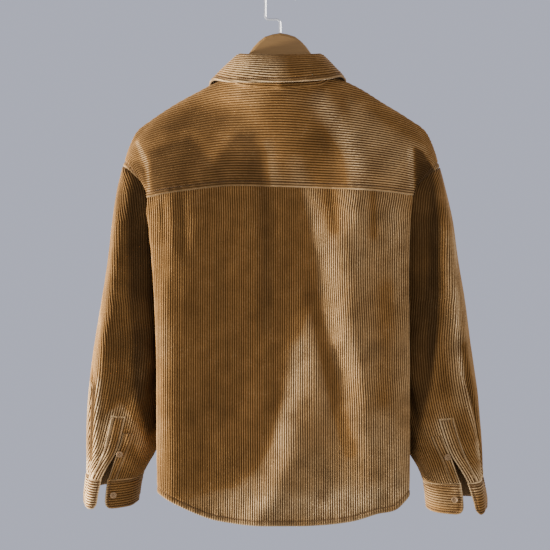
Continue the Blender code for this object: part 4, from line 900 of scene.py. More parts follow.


# ================================================================ scene: painted light and shade, and an uneven tone
# Painted light and shade on the back of the jacket. A row holds its tone, over 0 painted light and pale
# and under 0 painted shade and dark, its softness, whether it is a filled field or a streak, and its
# outline or path. The places and the softness were given in pixels of the camera's view, 550 wide and
# high.
PIXEL = 0.001674        # size of one of those pixels at the hanger's plane
VIEW_MIDDLE = 275       # the pixel at the view's middle, across and down
CAMERA_X = -0.0084
CAMERA_Y = -3.0
CAMERA_Z = -0.4933
NAP_UNEVEN = 0.06       # how much the tone varies all over
PAINTED_LIGHT_TURN = 0.6          # a normal's y past which the rows of painted light and shade no longer show
# the darkest and the palest that a tone may reach, mostly painted shade and painted light
TONE_DARKEST = 0.25
TONE_PALEST = 2.2
PAINTED_LIGHT_DEPTHS = {"back": -0.060, "yoke": -0.055, "left": -0.040, "right": -0.040, "collar": -0.060}
# painted light and painted shade, by piece
PAINTED_LIGHT_ROWS = {
    "back": [
        (-0.10, 14, True, [(166, 188), (300, 186), (307, 215), (315, 250), (316, 285), (306, 312),
            (296, 345), (288, 375), (281, 405), (270, 440), (255, 463), (232, 483), (200, 490),
            (178, 486), (166, 465), (167, 420), (171, 370), (172, 320), (168, 250)]),
        (-0.22, 8, False, [(181, 192), (185, 260)]),
        (-0.28, 8, False, [(263, 192), (266, 250), (264, 330)]),
        (0.08, 13, False, [(234, 262), (240, 305)]),
        (0.18, 10, True, [(301, 184), (411, 184), (412, 400), (411, 500), (350, 522), (270, 526),
            (200, 520), (168, 500), (205, 495), (235, 487), (258, 467), (274, 441), (284, 406),
            (291, 376), (299, 346), (309, 313), (319, 286), (318, 251), (310, 215)]),
        (0.26, 10, False, [(299, 350), (292, 395), (282, 440)]),
        (-0.30, 7, False, [(314, 300), (322, 345), (333, 390), (350, 450)]),
        (0.10, 8, False, [(307, 195), (322, 235), (334, 275), (343, 335), (356, 376)]),
        (0.16, 15, False, [(235, 508), (300, 512), (360, 505), (398, 485)]),
        (-0.28, 6, False, [(330, 193), (334, 230)]),
        (-0.24, 5, False, [(373, 193), (374, 236)]),
        (-0.02, 18, False, [(342, 452), (366, 470)]),
        (-0.22, 16, False, [(232, 470), (262, 440)]),
        (0.30, 12, False, [(318, 508), (350, 500)]),
        (0.12, 6, False, [(352, 200), (358, 262)]),
        (0.14, 7, False, [(393, 200), (399, 300)]),
        (-0.20, 12, False, [(386, 290), (384, 400)]),
        (0.26, 11, False, [(262, 500), (330, 503), (396, 492)]),
    ],
    "yoke": [
        (-0.50, 26, True, [(128, 128), (190, 100), (240, 112), (262, 136), (236, 132), (213, 150),
            (192, 134), (165, 142), (130, 150)]),
        (-0.56, 12, True, [(146, 150), (165, 143), (190, 135), (207, 155), (214, 160), (236, 131),
            (254, 134), (264, 152), (268, 192), (200, 194), (146, 196)]),
        (0.22, 8, False, [(263, 142), (274, 180)]),
        (0.50, 9, False, [(320, 100), (338, 125), (353, 150), (359, 182)]),
        (-0.30, 9, False, [(318, 135), (330, 152), (334, 180)]),
        (0.16, 9, False, [(297, 163), (300, 186)]),
        (0.22, 15, True, [(350, 100), (428, 146), (412, 190), (366, 188), (350, 150)]),
        (-0.78, 2.5, True, [(415.5, 146), (424, 150), (438, 172), (415.5, 190)]),
        (0.60, 2.5, False, [(411, 150), (412, 188)]),
        (0.75, 2.5, False, [(135, 141), (146, 162), (149, 192)]),
        (-0.45, 4, True, [(128, 160), (137, 160), (145, 170), (146, 186), (126, 172)]),
    ],
    "left": [
        (-0.74, 9, True, [(131, 170), (160, 165), (160, 425), (146, 440), (134, 400), (130, 300),
            (128, 220)]),
        (-0.34, 8, True, [(114, 168), (128, 168), (134, 420), (120, 400), (108, 412), (104, 330),
            (106, 250)]),
        (0.12, 5, False, [(116, 290), (129, 325), (133, 350)]),
        (0.50, 2.2, False, [(90, 385), (87, 462)]),
        (-1.30, 2, False, [(95, 384), (92, 425), (90, 462)]),
        (0.90, 2.2, False, [(99, 380), (96, 425), (93, 462)]),
        (0.60, 3, False, [(112, 414), (103, 450), (98, 478)]),
        (0.35, 8, True, [(98, 425), (112, 412), (108, 450), (98, 480), (92, 470)]),
        (0.95, 5, True, [(82, 462), (104, 462), (104, 512), (80, 512)]),
        (0.22, 7, False, [(122, 408), (140, 440)]),
        (-0.14, 9, True, [(108, 470), (142, 468), (140, 510), (106, 510)]),
        (-0.35, 4, False, [(128, 452), (138, 468)]),
    ],
    "right": [
        (-0.64, 7, True, [(395, 170), (433, 172), (440, 230), (438, 330), (430, 390), (420, 430),
            (416, 470), (395, 480)]),
        (-0.20, 8, True, [(433, 172), (442, 200), (445, 250), (440, 330), (432, 390), (428, 330)]),
        (0.24, 9, False, [(450, 240), (458, 330), (462, 400)]),
        (0.70, 2.5, False, [(455, 290), (457, 343), (461, 370), (470, 410), (475, 430), (480, 458)]),
        (-0.50, 3, False, [(463, 345), (469, 390), (477, 440)]),
        (0.45, 5, False, [(441, 425), (452, 452), (465, 475)]),
        (0.12, 9, False, [(436, 405), (446, 425), (440, 440)]),
        (0.25, 12, False, [(430, 495), (450, 500)]),
        (0.72, 9, False, [(466, 488), (484, 478)]),
    ],
    "collar": [
        (0.12, 10, True, [(205, 86), (238, 50), (262, 52), (268, 85)]),
        (0.62, 15, False, [(250, 70), (266, 72)]),
        (-0.16, 12, False, [(300, 66), (335, 76)]),
        (-0.10, 4, False, [(240, 84), (300, 84)]),
    ],
}


def painted_light_rows(name):
    """A piece's rows of painted light and shade in real sizes, to the millimetre: softness and places
    in x and z.
    """
    size = PIXEL * (PAINTED_LIGHT_DEPTHS.get(name, 0.0) - CAMERA_Y) / -CAMERA_Y
    rows = []
    for tone, soft, filled, pixels in PAINTED_LIGHT_ROWS.get(name, []):
        places = [(round(CAMERA_X + (px - VIEW_MIDDLE) * size, 3),
                   round(CAMERA_Z + (VIEW_MIDDLE - py) * size, 3)) for px, py in pixels]
        rows.append((tone, round(soft * size, 3), filled, places))
    return rows_of("tone soft filled places", rows)


def to_path(x, z, places, closed):
    """Distance of each place to a path of corners, and whether it lies inside."""
    near = np.full(x.shape, np.inf)
    inside = np.zeros(x.shape, bool)
    ends = places[1:] + places[:1] if closed else places[1:]
    for (ax, az), (bx, bz) in zip(places, ends):
        wide, high = bx - ax, bz - az
        run = np.clip(((x - ax) * wide + (z - az) * high) / (wide ** 2 + high ** 2), 0, 1)
        near = np.minimum(near, np.hypot(x - ax - run * wide, z - az - run * high))
        crossed = (az > z) != (bz > z)
        inside ^= crossed & (x < ax + (z - az) * wide / (high if high else 1.0))
    return near, inside


def painted_light_tone(name, size=0.10, seed=9):
    """A tone over a piece: its table of painted light and shade on what faces back, and an uneven part
    all over.
    """
    def tone(base, normals, u, s):
        x, z = base[:, 0], base[:, 2]
        total = np.zeros_like(x)
        for row in painted_light_rows(name):
            near, inside = to_path(x, z, row.places, row.filled)
            if row.filled:
                total += row.tone * smooth(np.where(inside, near, -near) / row.soft + 0.5)
            else:
                total += row.tone * np.exp(-(near / row.soft) ** 2)
        facing = smooth((PAINTED_LIGHT_TURN - normals[:, 1]) / PAINTED_LIGHT_TURN)
        patchy = NAP_UNEVEN * uneven(u, s, seed, size)
        return np.clip(1 + total * facing + patchy, TONE_DARKEST, TONE_PALEST)
    return tone


# ================================================================ scene: pieces
BEHIND = (0, 0.3)       # a place in x and y that the whole back faces away from
BEFORE = (0, -0.3)      # and the same for the front
ARM_MIDDLE = (0.262, 0.008)     # places in x and y inside a sleeve, a cuff and the collar
CUFF_MIDDLE = (0.29, 0.0)
NECK_MIDDLE = (0, 0.006)
FAR = 0.2               # stands for the distance to an edge that a point isn't near
TOP = CHEST_Z + 1       # level at which a body sheet ends
BACK_COLUMNS = 481
FRONT_COLUMNS = 241
EVEN_COLUMNS = 12       # columns of the dense sheet over which the yoke is evened out
EVEN_FROM = 0.30        # level over CHEST_Z by which it has its full weight
EVEN_TO = 0.10          # level under the top edge where it fades
EVEN_SIDE = 0.16        # share by the armholes over which it fades
FULL = 0.0030           # fullness of the back beside the underarms
FULL_FROM = 0.06        # level over CHEST_Z by which it is reached
FULL_TO = 0.34          # level over CHEST_Z where it ends
FULL_FADE = 0.24        # level over which it fades there


def evened(sheet):
    """The sheet with its rows evened out across the yoke, where cloth can't hold a crease."""
    reach = 3 * EVEN_COLUMNS
    bell = np.exp(-0.5 * (np.arange(-reach, reach + 1) / EVEN_COLUMNS) ** 2)
    padded = np.pad(sheet.points, ((0, 0), (reach, reach), (0, 0)), mode="reflect", reflect_type="odd")
    calm = sum(part * padded[:, k:k + len(sheet.shares)] for k, part in enumerate(bell / bell.sum()))
    rise = smooth((sheet.levels - CHEST_Z) / EVEN_FROM) * smooth((TOP - sheet.levels) / EVEN_TO)
    weight = rise[:, None] * smooth((1 - abs(sheet.shares)) / EVEN_SIDE)[None, :]
    points = mix(sheet.points, calm, weight[..., None])
    rise = smooth((sheet.levels - CHEST_Z) / FULL_FROM)
    rise *= smooth((CHEST_Z + FULL_TO - sheet.levels) / FULL_FADE)
    side = np.sign(sheet.shares) * smooth((abs(sheet.shares) - 1 + EVEN_SIDE) / EVEN_SIDE)
    points[..., 0] += FULL * rise[:, None] * side[None, :]
    return sheet._replace(points=points)


def hem_slope(shares, hems):
    rise = np.gradient(hems) / np.maximum(np.gradient(shares) * HALF_GIRTH, 1e-6)
    return np.sqrt(1 + np.clip(rise, -2, 2) ** 2)


# Distances of the close rows by a hem and by a top seam.
HEM_NEAR = np.array([0, .0012, .0030, .0052, .0070, .0085, .0100, .0120, .0160])
SEAM_NEAR = np.array([.0100, .0060, .0030, .0012, 0])
UNDER = 0.003           # how far a piece reaches under the one that covers its edge
TOP_RUN = 0.20          # length of cloth that stands for one level over CHEST_Z


def steps(count):
    """The ends of equal steps from 0 to 1."""
    return np.linspace(0, 1, count + 1)[1:]


def body_levels(shares, hems, tops, cut):
    """Levels of all rows of a body panel, close together by the hem and the top seam."""
    slope = hem_slope(shares, hems)
    rows = [hems + d * slope for d in HEM_NEAR]
    foot = rows[-1]
    rows += [mix(foot, UNDERARM_Z, r) for r in steps(int(round((UNDERARM_Z - hems.min()) / STEP)))]
    for r in steps(int(round((CHEST_Z - UNDERARM_Z) / STEP))):
        rows.append(mix(np.full_like(hems, UNDERARM_Z), CHEST_Z, r))
    last = tops - SEAM_NEAR[0] / TOP_RUN
    rows += [mix(np.full_like(hems, CHEST_Z), last, r) for r in steps(cut)]
    rows += [tops - d / TOP_RUN for d in SEAM_NEAR[1:]]
    return np.array(rows)


def yoke_seam(back, shares, above):
    """Levels along the back yoke seam, or at a height above it."""
    return level_at(back, shares, by_side(YOKE_SEAM, np.asarray(shares), "left", "right") + above)


stitches = []           # (points, normals) of every stitch line


def add_stitch(points, normals):
    stitches.append((np.asarray(points), np.asarray(normals)))


def sheet_stitch(sheet, levels, shares, face):
    add_stitch(sample(sheet, levels, shares), outward(sheet, levels, shares, face))


def make_back_panel(back):
    """The back below the yoke; its top edge reaches on under the yoke."""
    shares = np.linspace(-1, 1, BACK_COLUMNS) * (1 - SEAM / HALF_GIRTH)
    hems = by_side(HEMS, shares, "back_left", "back_right")
    tops = yoke_seam(back, shares, UNDER)
    levels = body_levels(shares, hems, tops, BACK_TOP_ROWS)
    wide = np.broadcast_to(shares, levels.shape)
    points = sample(back, levels, wide)
    run = run_along(points, 1, 2)
    middle = BACK_COLUMNS // 2
    run = run - run[:, middle:middle + 1]
    u = run_along(points, 0)
    hem = u / hem_slope(shares, hems)
    seam = np.maximum(u[-1] - UNDER - u, 0)
    side = np.minimum(run - run[:, :1], run[:, -1:] - run)
    curves = curves_of(points, run, u + hems[None, :], [hem, seam, side])
    sheet_stitch(back, hems + HEM_EDGE.stitch * hem_slope(shares, hems), shares, -1)
    return shell("back_panel_cloth", [curves], (HEM_EDGE, TUCKED, TUCKED), BEHIND, CLOTH,
                 painted_light_tone("back", size=0.11, seed=7), seed=1, pitch=BODY_PITCH)


BACK_TOP_ROWS = 4       # rows of the back from CHEST_Z up to its seam,
FRONT_TOP_ROWS = 16     # and of the front and the band
SIDE_STITCH = 0.262     # the front's hem is stitched up to here, by the side seam,
LEFT_STITCH = 0.001     # and from this far off the band on the left front
RIGHT_STITCH = 0.008    # and on the right one
BAND_COLUMNS = 41


def make_front_panel(front, side):
    """A front, from the side seam to the centre, where the right one passes behind the band."""
    fraction = np.linspace(0, 1, FRONT_COLUMNS)
    far = side * (1 - SEAM / HALF_GIRTH)
    inner_x = -BAND_HALF - SEAM if side < 0 else -BAND_LAP
    guide = side * mix(abs(inner_x) * side * np.sign(inner_x) / HALF_GIRTH, 1.0, fraction)
    hems = read(HEMS, "share", "front", np.abs(guide))
    cover = front_seam_share(guide)
    tops = TOP - cover - front_seam_gap(guide)
    levels = body_levels(np.abs(guide), hems, tops, FRONT_TOP_ROWS)
    inner = share_at_x(front, levels[:, 0], inner_x)
    shares = mix(inner[:, None], far, fraction[None, :])
    points = sample(front, levels, shares)
    if side > 0:
        normals = outward(front, levels, shares, 1)
        dip = BAND_DIP * (1 - smooth((points[..., 0] - BAND_HALF) / BAND_STEP))
        points = points - normals * dip[..., None]
    run = run_along(points, 1, 2) + inner_x * side
    u = run_along(points, 0)
    hem = u / hem_slope(np.abs(guide), hems)
    seam = u[-1] - u
    outer = run[:, -1:] - run
    if side < 0:
        run = -run[:, ::-1]
        points, u, hem = points[:, ::-1], u[:, ::-1], hem[:, ::-1]
        seam, outer, hems = seam[:, ::-1], outer[:, ::-1], hems[::-1]
    curves = curves_of(points, run, u + hems[None, :], [hem, seam, outer])
    start = BAND_HALF + (RIGHT_STITCH if side > 0 else LEFT_STITCH)
    line = np.linspace(start, SIDE_STITCH, 200) * side / HALF_GIRTH
    low = read(HEMS, "share", "front", np.abs(line))
    sheet_stitch(front, low + HEM_EDGE.stitch * hem_slope(np.abs(line), low), line, 1)
    return shell("front_%s_cloth" % side_name(side), [curves], (HEM_EDGE, TUCKED, TUCKED), BEFORE,
                 CLOTH, painted_light_tone("plain"), seed=2, pitch=BODY_PITCH)


def make_band_piece(front):
    """The double band down the front, with a row of stitches by each edge."""
    across = np.linspace(-BAND_HALF, BAND_HALF, BAND_COLUMNS)
    hems = read(HEMS, "share", "front", np.abs(across) / HALF_GIRTH)
    levels = body_levels(across / HALF_GIRTH, hems, np.full_like(hems, TOP), FRONT_TOP_ROWS)
    run = np.broadcast_to(across, levels.shape)
    shares = share_at_x(front, levels, run)
    normals = outward(front, levels, shares, 1)
    points = sample(front, levels, shares) + normals * BAND_PROUD
    u = run_along(points, 0)
    curves = curves_of(points, run, u + hems[None, :], [u, BAND_HALF - np.abs(run)])
    for x in (-1, 1):
        k = np.argmin(np.abs(across - x * (BAND_HALF - CUFF_EDGE.stitch)))
        add_stitch(points[4:-2, k], normals[4:-2, k])
    return shell("front_band_cloth", [curves], (HEM_EDGE, CUFF_EDGE), BEFORE, BAND_THICK,
                 painted_light_tone("plain"), seed=3)


YOKE_TILT = 0.08        # how far the yoke's wales climb to the sides, by the neck
YOKE_BEND = 0.030       # half width over which they bend at the centre line
YOKE_DEPTH = 0.5        # how far a curve's run in depth spreads the wales of the shoulder
YOKE_NEAR = np.array([0, .0012, .0030, .0050, .0065, .0080, .0100, .0130])  # columns by the armhole
YOKE_GIRTH = 0.28       # length round half the yoke, which turns lengths there into shares
YOKE_POINTS = 90        # points of a curve up the back of the yoke
DOWN_POINTS = 50        # points of a curve from the shoulder down to the front seam
YOKE_COLUMNS = 40       # columns from the neck to the armhole's close ones,
NECK_COLUMNS = 16       # from the centre to the neck's end,
CORNER_COLUMNS = 6      # and from there on along the neck's front
TILT_POWER = 1.5        # how late on their way up the wales tilt
SEAM_STITCH = 0.985     # share of the yoke seam's length that is stitched
YOKE_EDGES = (YOKE_EDGE, TUCKED, ARM_EDGE, TUCKED)    # back seam, front seam, armholes and neck


def yoke_shares():
    side = 1 - YOKE_NEAR / YOKE_GIRTH
    inner = np.linspace(NECK_SHARE, side[-1], YOKE_COLUMNS)[:-1]
    neck = np.linspace(0, NECK_SHARE, NECK_COLUMNS)[:-1]
    half = np.concatenate([neck, inner, side[::-1]])
    half[-1] = 1 - SEAM / HALF_GIRTH
    return half


def yoke_up(back, share, seam):
    """A curve up the back of the yoke: its points, its run across the wales and its length."""
    levels = mix(float(seam), TOP, np.linspace(0, 1, YOKE_POINTS))
    points = sample(back, levels, np.full(YOKE_POINTS, share))
    arc = run_along(points, 0)
    aside = np.hypot(points[:, 0], YOKE_BEND) - YOKE_BEND
    width = YOKE_TILT * aside * (arc / arc[-1]) ** TILT_POWER
    return points, run_along(points * (1, YOKE_DEPTH, 1), 0) + width, arc


def yoke_down(front, share):
    """A curve from the shoulder line down to the front seam, and its length."""
    reach = abs(share)
    low = min(TOP - front_seam_share(reach) + front_seam_gap(reach), TOP - 1e-4)
    points = sample(front, mix(TOP, low, np.linspace(0, 1, DOWN_POINTS)), np.full(DOWN_POINTS, share))
    return points, run_along(points, 0)


def yoke_curve(points, run, arc, share, at_neck):
    """A curve for the shell, with its distances to the seams, of which it ends on one."""
    end = arc[-1] - arc
    far = np.full_like(arc, FAR)
    armhole = np.full_like(arc, (1 - abs(share)) * YOKE_GIRTH)
    to_front, to_neck = (far, end) if at_neck else (end, far)
    return run, np.column_stack([points, points[:, 0], arc, to_front, armhole, to_neck])


def make_yoke_piece(back, front):
    """The yoke: its middle below the neck, its sides over the shoulders, and its front corners."""
    half = yoke_shares()
    whole = np.concatenate([-half[:0:-1], half])
    middle, sides, fronts = [], {-1: [], 1: []}, {-1: [], 1: []}
    for share, seam in zip(whole, yoke_seam(back, whole, SEAM)):
        points, run, arc = yoke_up(back, share, seam)
        if abs(share) <= NECK_SHARE + 1e-9:
            middle.append(yoke_curve(points, run, arc, share, True))
        if abs(share) >= NECK_SHARE - 1e-9:
            more, more_arc = yoke_down(front, share)
            points = np.concatenate([points, more[1:]])
            run = np.concatenate([run, run[-1] + more_arc[1:]])
            arc = np.concatenate([arc, arc[-1] + more_arc[1:]])
            sides[int(np.sign(share))].append(yoke_curve(points, run, arc, share, False))
    for side in (-1, 1):
        corner = side * NECK_SHARE
        _, run, arc = yoke_up(back, corner, yoke_seam(back, corner, SEAM))
        neck_run, last = 0.0, None
        for share in side * np.linspace(NECK_SHARE, FRONT_SEAM_NECK, CORNER_COLUMNS):
            points, down = yoke_down(front, share)
            neck_run += 0.0 if last is None else np.linalg.norm(points[0] - last)
            last = points[0]
            across = run[-1] + neck_run + down
            fronts[side].append(yoke_curve(points, across, arc[-1] + down, share, False))
    line = np.linspace(-SEAM_STITCH, SEAM_STITCH, 420)
    sheet_stitch(back, yoke_seam(back, line, SEAM + YOKE_EDGE.stitch), line, -1)
    for side in (-1, 1):
        edge = side * (1 - ARM_EDGE.stitch / YOKE_GIRTH)
        climb = mix(float(yoke_seam(back, edge, 0.0)), TOP, np.linspace(0.06, 1, 60))
        sheet_stitch(back, climb, np.full(60, edge), -1)
    patches = [middle, sides[-1], sides[1], fronts[-1], fronts[1]]
    return shell("back_yoke_cloth", patches, YOKE_EDGES, BEHIND, CLOTH,
                 painted_light_tone("yoke", size=0.09, seed=8), seed=4)


def armhole_levels(back, front, side, count):
    """Heights of the two ends of each sleeve row from the underarm up to the shoulder tip."""
    heights = []
    for sheet in (back, front):
        edge = sample(sheet, sheet.levels, np.full(len(sheet.levels), float(side)))
        edge = edge[sheet.levels >= UNDERARM_Z]
        run = run_along(edge, 0)
        heights.append(np.interp(np.linspace(0, run[-1], count + 1), run, edge[:, 2]))
    return heights


def opened(name, shares, rows_z, before):
    """Shares of the sleeve's columns, turned toward the cuff and opened at the slit."""
    top = cuff_top(name, SLIT)
    gape = smooth((top + SLIT_LENGTH - rows_z) / SLIT_LENGTH) * SLIT_HALF_GAP / CUFF_GIRTH
    near = smooth(1 - np.abs(shares - SLIT) / GAPE_FADE)
    return arm_share(name, shares, rows_z) + np.where(before, -gape, gape) * near


CUFF_NEAR = np.array([-UNDER, 0, .0012, .0030, .0060, .0100])    # rows by the cuff's seam
TUCK_FADE = 0.006       # how far from the armhole's seam the sleeve bends to reach under it
TUCK_DEPTH = 0.0008
TUCK_RISE = 0.02        # height over the underarm by which it does so fully
ARMHOLE_ROWS = 30
SLIT_COLUMNS = 121      # columns from the underarm by the back to the slit,
ROUND_COLUMNS = 281     # and on round to the underarm
TIP_ROW = 0.05          # size of the sleeve's last row at its tip, against the true one


def arm_middle(side):
    return side * ARM_MIDDLE[0], ARM_MIDDLE[1]


def tuck_under(side, points, rows_z, seam):
    """Carry a sleeve's edge over the underarm on under the body's edge, so no gap shows."""
    near = np.exp(-(np.linalg.norm(points - seam, axis=2) / TUCK_FADE) ** 2)
    near *= smooth((rows_z - UNDERARM_Z) / TUCK_RISE)
    points[..., 0] -= side * UNDER * near
    points[..., 1] -= np.sign(points[..., 1]) * TUCK_DEPTH * near
    points[..., 2] -= TUCK_DEPTH * near


def make_sleeve_piece(side, back, front, arm):
    """A sleeve in two patches, from the underarm seam to the slit and from the slit on round."""
    name = side_name(side)
    z_back, z_front = armhole_levels(back, front, side, ARMHOLE_ROWS)
    parts = {}
    for key, shares in (("a", np.linspace(0, SLIT, SLIT_COLUMNS)),
                        ("b", np.linspace(SLIT, 1, ROUND_COLUMNS))):
        cuff = cuff_top(name, shares) + SEAM
        rows = [cuff + d for d in CUFF_NEAR]
        count = int(round((UNDERARM_Z - CUFF_EDGES[name].level - CUFF_NEAR[-1]) / STEP))
        rows += [mix(cuff + CUFF_NEAR[-1], UNDERARM_Z, r) for r in steps(count)]
        rows += [mix(zb, zf, smooth(shares)) for zb, zf in zip(z_back[1:], z_front[1:])]
        rows_z = np.array(rows)
        wide = np.broadcast_to(shares, rows_z.shape)
        points = sample(arm, rows_z, opened(name, wide, rows_z, key == "a"))
        parts[key] = (points, rows_z)
    a_points, a_z = parts["a"]
    b_points, b_z = parts["b"]
    tip = 0.5 * (a_points[-1, 0] + b_points[-1, -1])
    a_points[-1] = mix(tip, a_points[-1], TIP_ROW)
    b_points[-1] = mix(tip, b_points[-1], TIP_ROW)
    free = a_z[:, -1] < cuff_top(name, SLIT) + SLIT_LENGTH
    for r in range(len(a_z)):
        if not free[r]:
            b_points[r, 0] = a_points[r, -1]
    tuck_under(side, a_points, a_z, a_points[:, :1])
    tuck_under(side, b_points, b_z, b_points[:, -1:])
    patches = []
    for key, points, rows_z in (("a", a_points, a_z), ("b", b_points, b_z)):
        run = run_along(points, 1, 2)
        u = run_along(points, 0) + cuff_fall(name, SLIT)
        total = run[:, -1:]
        seam = run if key == "a" else total - run
        armhole = np.where(rows_z > UNDERARM_Z, seam, FAR)
        run = run - total if key == "a" else run
        cuff = np.maximum(u - u[1], 0)
        slit = np.where(free[:, None], np.abs(run), FAR)
        patches.append(curves_of(points, run, u, [cuff, armhole, slit, seam]))
    return shell("sleeve_%s_cloth" % name, patches,
                 (SLEEVE_EDGE, SLEEVE_EDGE, SLIT_EDGE, UNDERARM_EDGE), arm_middle(side), CLOTH,
                 painted_light_tone(name, seed=12 + side), seed=20 + side, pitch=SLEEVE_PITCH)


STRIP_COLUMNS = 61
TOWER_ROWS = 14
LAP_ROWS = 10
STRIP_LOW = (0, .0012, .0030)               # rows by a strip's lower end
STRIP_TOP = (.0060, .0045, .0030, .0012, 0)     # and by its top
TOWER_EDGE = CUFF_EDGE._replace(stitch=0.0035, worn=0.0024)
LAP_EDGE = CUFF_EDGE._replace(stitch=0.0030)
TOWER_STITCH = (9, 51)  # columns of the tower's stitches by its edges
LAP_STITCH = 15         # column of the underlap's stitches
BOX_HEIGHT = 0.018      # from the tower's top down to its lower row of stitches


def slit_strip(name, side, arm, ends, top, count, before):
    """A strip of cloth on the sleeve beside the slit, between two shares, up to a height."""
    shares = np.linspace(*ends, STRIP_COLUMNS)
    cuff = cuff_top(name, shares) + SEAM
    lows = [cuff + d for d in STRIP_LOW]
    highs = [cuff + top - d for d in STRIP_TOP]
    rows_z = np.array(lows + [mix(lows[-1], highs[0], r) for r in steps(count - 1)[:-1]] + highs)
    columns = opened(name, np.broadcast_to(shares, rows_z.shape), rows_z, before)
    normals = outward(arm, rows_z, columns, -side)
    points = sample(arm, rows_z, columns) + normals * (LIFT + CLOTH)
    run = run_along(points, 1)
    u = run_along(points, 0)
    return points, normals, run, u, np.minimum(run, run[:, -1:] - run)


def make_tower(side, arm):
    """The tower placket, beside the slit toward the outside, with its box of stitches."""
    name = side_name(side)
    ends = (SLIT + PLACKET_BACK / CUFF_GIRTH, SLIT + TOWER_SHARE)
    points, normals, run, u, edge = slit_strip(name, side, arm, ends, TOWER_LENGTH, TOWER_ROWS, False)
    curves = curves_of(points, run, u, [edge, u[-1] - u])
    first, last = TOWER_STITCH
    for k in TOWER_STITCH:
        add_stitch(points[:-3, k], normals[:-3, k])
    middle = points[:, STRIP_COLUMNS // 2, 2]
    box = np.argmin(np.abs(middle - middle[-1] + BOX_HEIGHT))
    for row in (len(points) - 4, box):
        add_stitch(points[row, first:last + 1], normals[row, first:last + 1])
    return shell("tower_placket_%s_cloth" % name, [curves], (TOWER_EDGE, TOWER_EDGE),
                 arm_middle(side), CLOTH, painted_light_tone(name), seed=31)


def make_underlap(side, arm):
    """The narrow strip on the slit's other side."""
    name = side_name(side)
    ends = (SLIT - UNDERLAP_SHARE, SLIT - PLACKET_BACK / CUFF_GIRTH)
    length = 0.5 * (TOWER_LENGTH + SLIT_LENGTH)
    points, normals, run, u, edge = slit_strip(name, side, arm, ends, length, LAP_ROWS, True)
    add_stitch(points[:-1, LAP_STITCH], normals[:-1, LAP_STITCH])
    return shell("underlap_%s_cloth" % name, [curves_of(points, run, u, [edge])], (LAP_EDGE,),
                 arm_middle(side), CLOTH, painted_light_tone(name), seed=32)


CUFF_COUNT = 61         # points up each column of a cuff
CUFF_END = np.array([0, .0012, .0030, .0050, .0065]) / CUFF_GIRTH    # columns by each end
CUFF_COLUMNS = 62       # even columns between them
CUFF_PLAIN = 0.034      # share from each end at which its even columns start


def make_cuff_piece(side, arm):
    """A cuff, round from the slit by the outside, with rounded corners and a frame of stitches."""
    name = side_name(side)
    plain = np.linspace(SLIT + CUFF_PLAIN, SLIT + 1 - CUFF_PLAIN, CUFF_COLUMNS)
    shares = np.concatenate([SLIT + CUFF_END, plain, SLIT + 1 - CUFF_END[::-1]])
    rows_z, columns = cuff_rows(name, shares, np.linspace(0, 1, CUFF_COUNT))
    normals = outward(arm, rows_z, columns, -side)
    points = sample(arm, rows_z, columns) + normals * CUFF_PROUD
    rise = cuff_rise(shares)
    fall = cuff_fall(name, np.mod(shares, 1.0))
    corner = np.minimum(shares - SLIT, SLIT + 1.0 - shares) * CUFF_GIRTH
    around = run_along(points, 1)
    curves = []
    for c in range(len(shares)):
        run = np.linspace(rise[c], fall[c], CUFF_COUNT)
        low = np.minimum(run, corner[c])
        if corner[c] < CUFF_CORNER:
            to_arc = CUFF_CORNER - np.hypot(CUFF_CORNER - corner[c], CUFF_CORNER - run)
            low = np.where(run < CUFF_CORNER, to_arc, low)
        curves.append((run, np.column_stack([points[:, c], around[:, c], low, fall[c] - run])))
    row = int(round((CUFF_COUNT - 1) * CUFF_EDGE.stitch / fall.mean()))
    last = CUFF_COUNT - 1 - row
    for place in (row, last):
        add_stitch(points[place, 4:-4], normals[place, 4:-4])
    for c in (3, -4):
        add_stitch(points[row + 6:last, c], normals[row + 6:last, c])
    return shell("cuff_%s_cloth" % name, [curves], (CUFF_EDGE, CUFF_EDGE._replace(sink=0.001)),
                 (side * CUFF_MIDDLE[0], CUFF_MIDDLE[1]), DOUBLE, painted_light_tone(name), seed=33 + side)


EVEN_PASSES = 14        # times that a line round the collar is evened out


def evened_line(points):
    """A line round the collar without the corner that its halves make at the centre back."""
    for _ in range(EVEN_PASSES):
        points[1:-1, 1:] = (points[:-2, 1:] + 2 * points[1:-1, 1:] + points[2:, 1:]) / 4
    return points


STAND_POINTS = 20
LEAF_POINTS = 22
# The leaf's turn at its fold: distances up from the stand and out of it.
LEAF_TURN = [(0.0036, -0.0006), (0.0030, 0.0022), (-0.0010, 0.0046)]
LEAF_END = 1.4          # the leaf's front ends count this much further from their edge


def collar_frames(turns):
    """The collar's fold and neck lines, with unit directions up the stand and out of it."""
    fold = evened_line(collar_point(turns, "fold"))
    neck = neck_point(turns)
    along = np.gradient(fold, axis=0)
    along /= np.linalg.norm(along, axis=1, keepdims=True)
    up = fold - neck
    up -= along * (up * along).sum(axis=1, keepdims=True)
    up /= np.linalg.norm(up, axis=1, keepdims=True)
    out = np.cross(along, up)
    out *= np.sign((out * from_neck(fold)).sum(axis=1, keepdims=True))
    return fold, neck, up, out


def from_neck(points):
    return points * (1, 1, 0) - (*NECK_MIDDLE, 0)


def collar_turns():
    """Turns from the left front round the back to the right, close together by the ends."""
    half = np.concatenate([np.linspace(0, 160, 46), np.linspace(164, COLLAR_END, 7)])
    return np.concatenate([-half[:0:-1], [1e-6], half[1:]])


def collar_curves(lines, u, distances):
    """Curves from lines up the collar; a row's distances are worked out from its run."""
    curves = []
    for k, line in enumerate(lines):
        run = run_along(line, 0)
        curves.append((run, np.column_stack([line, np.full(len(line), u[k]), *distances(run, k)])))
    return curves


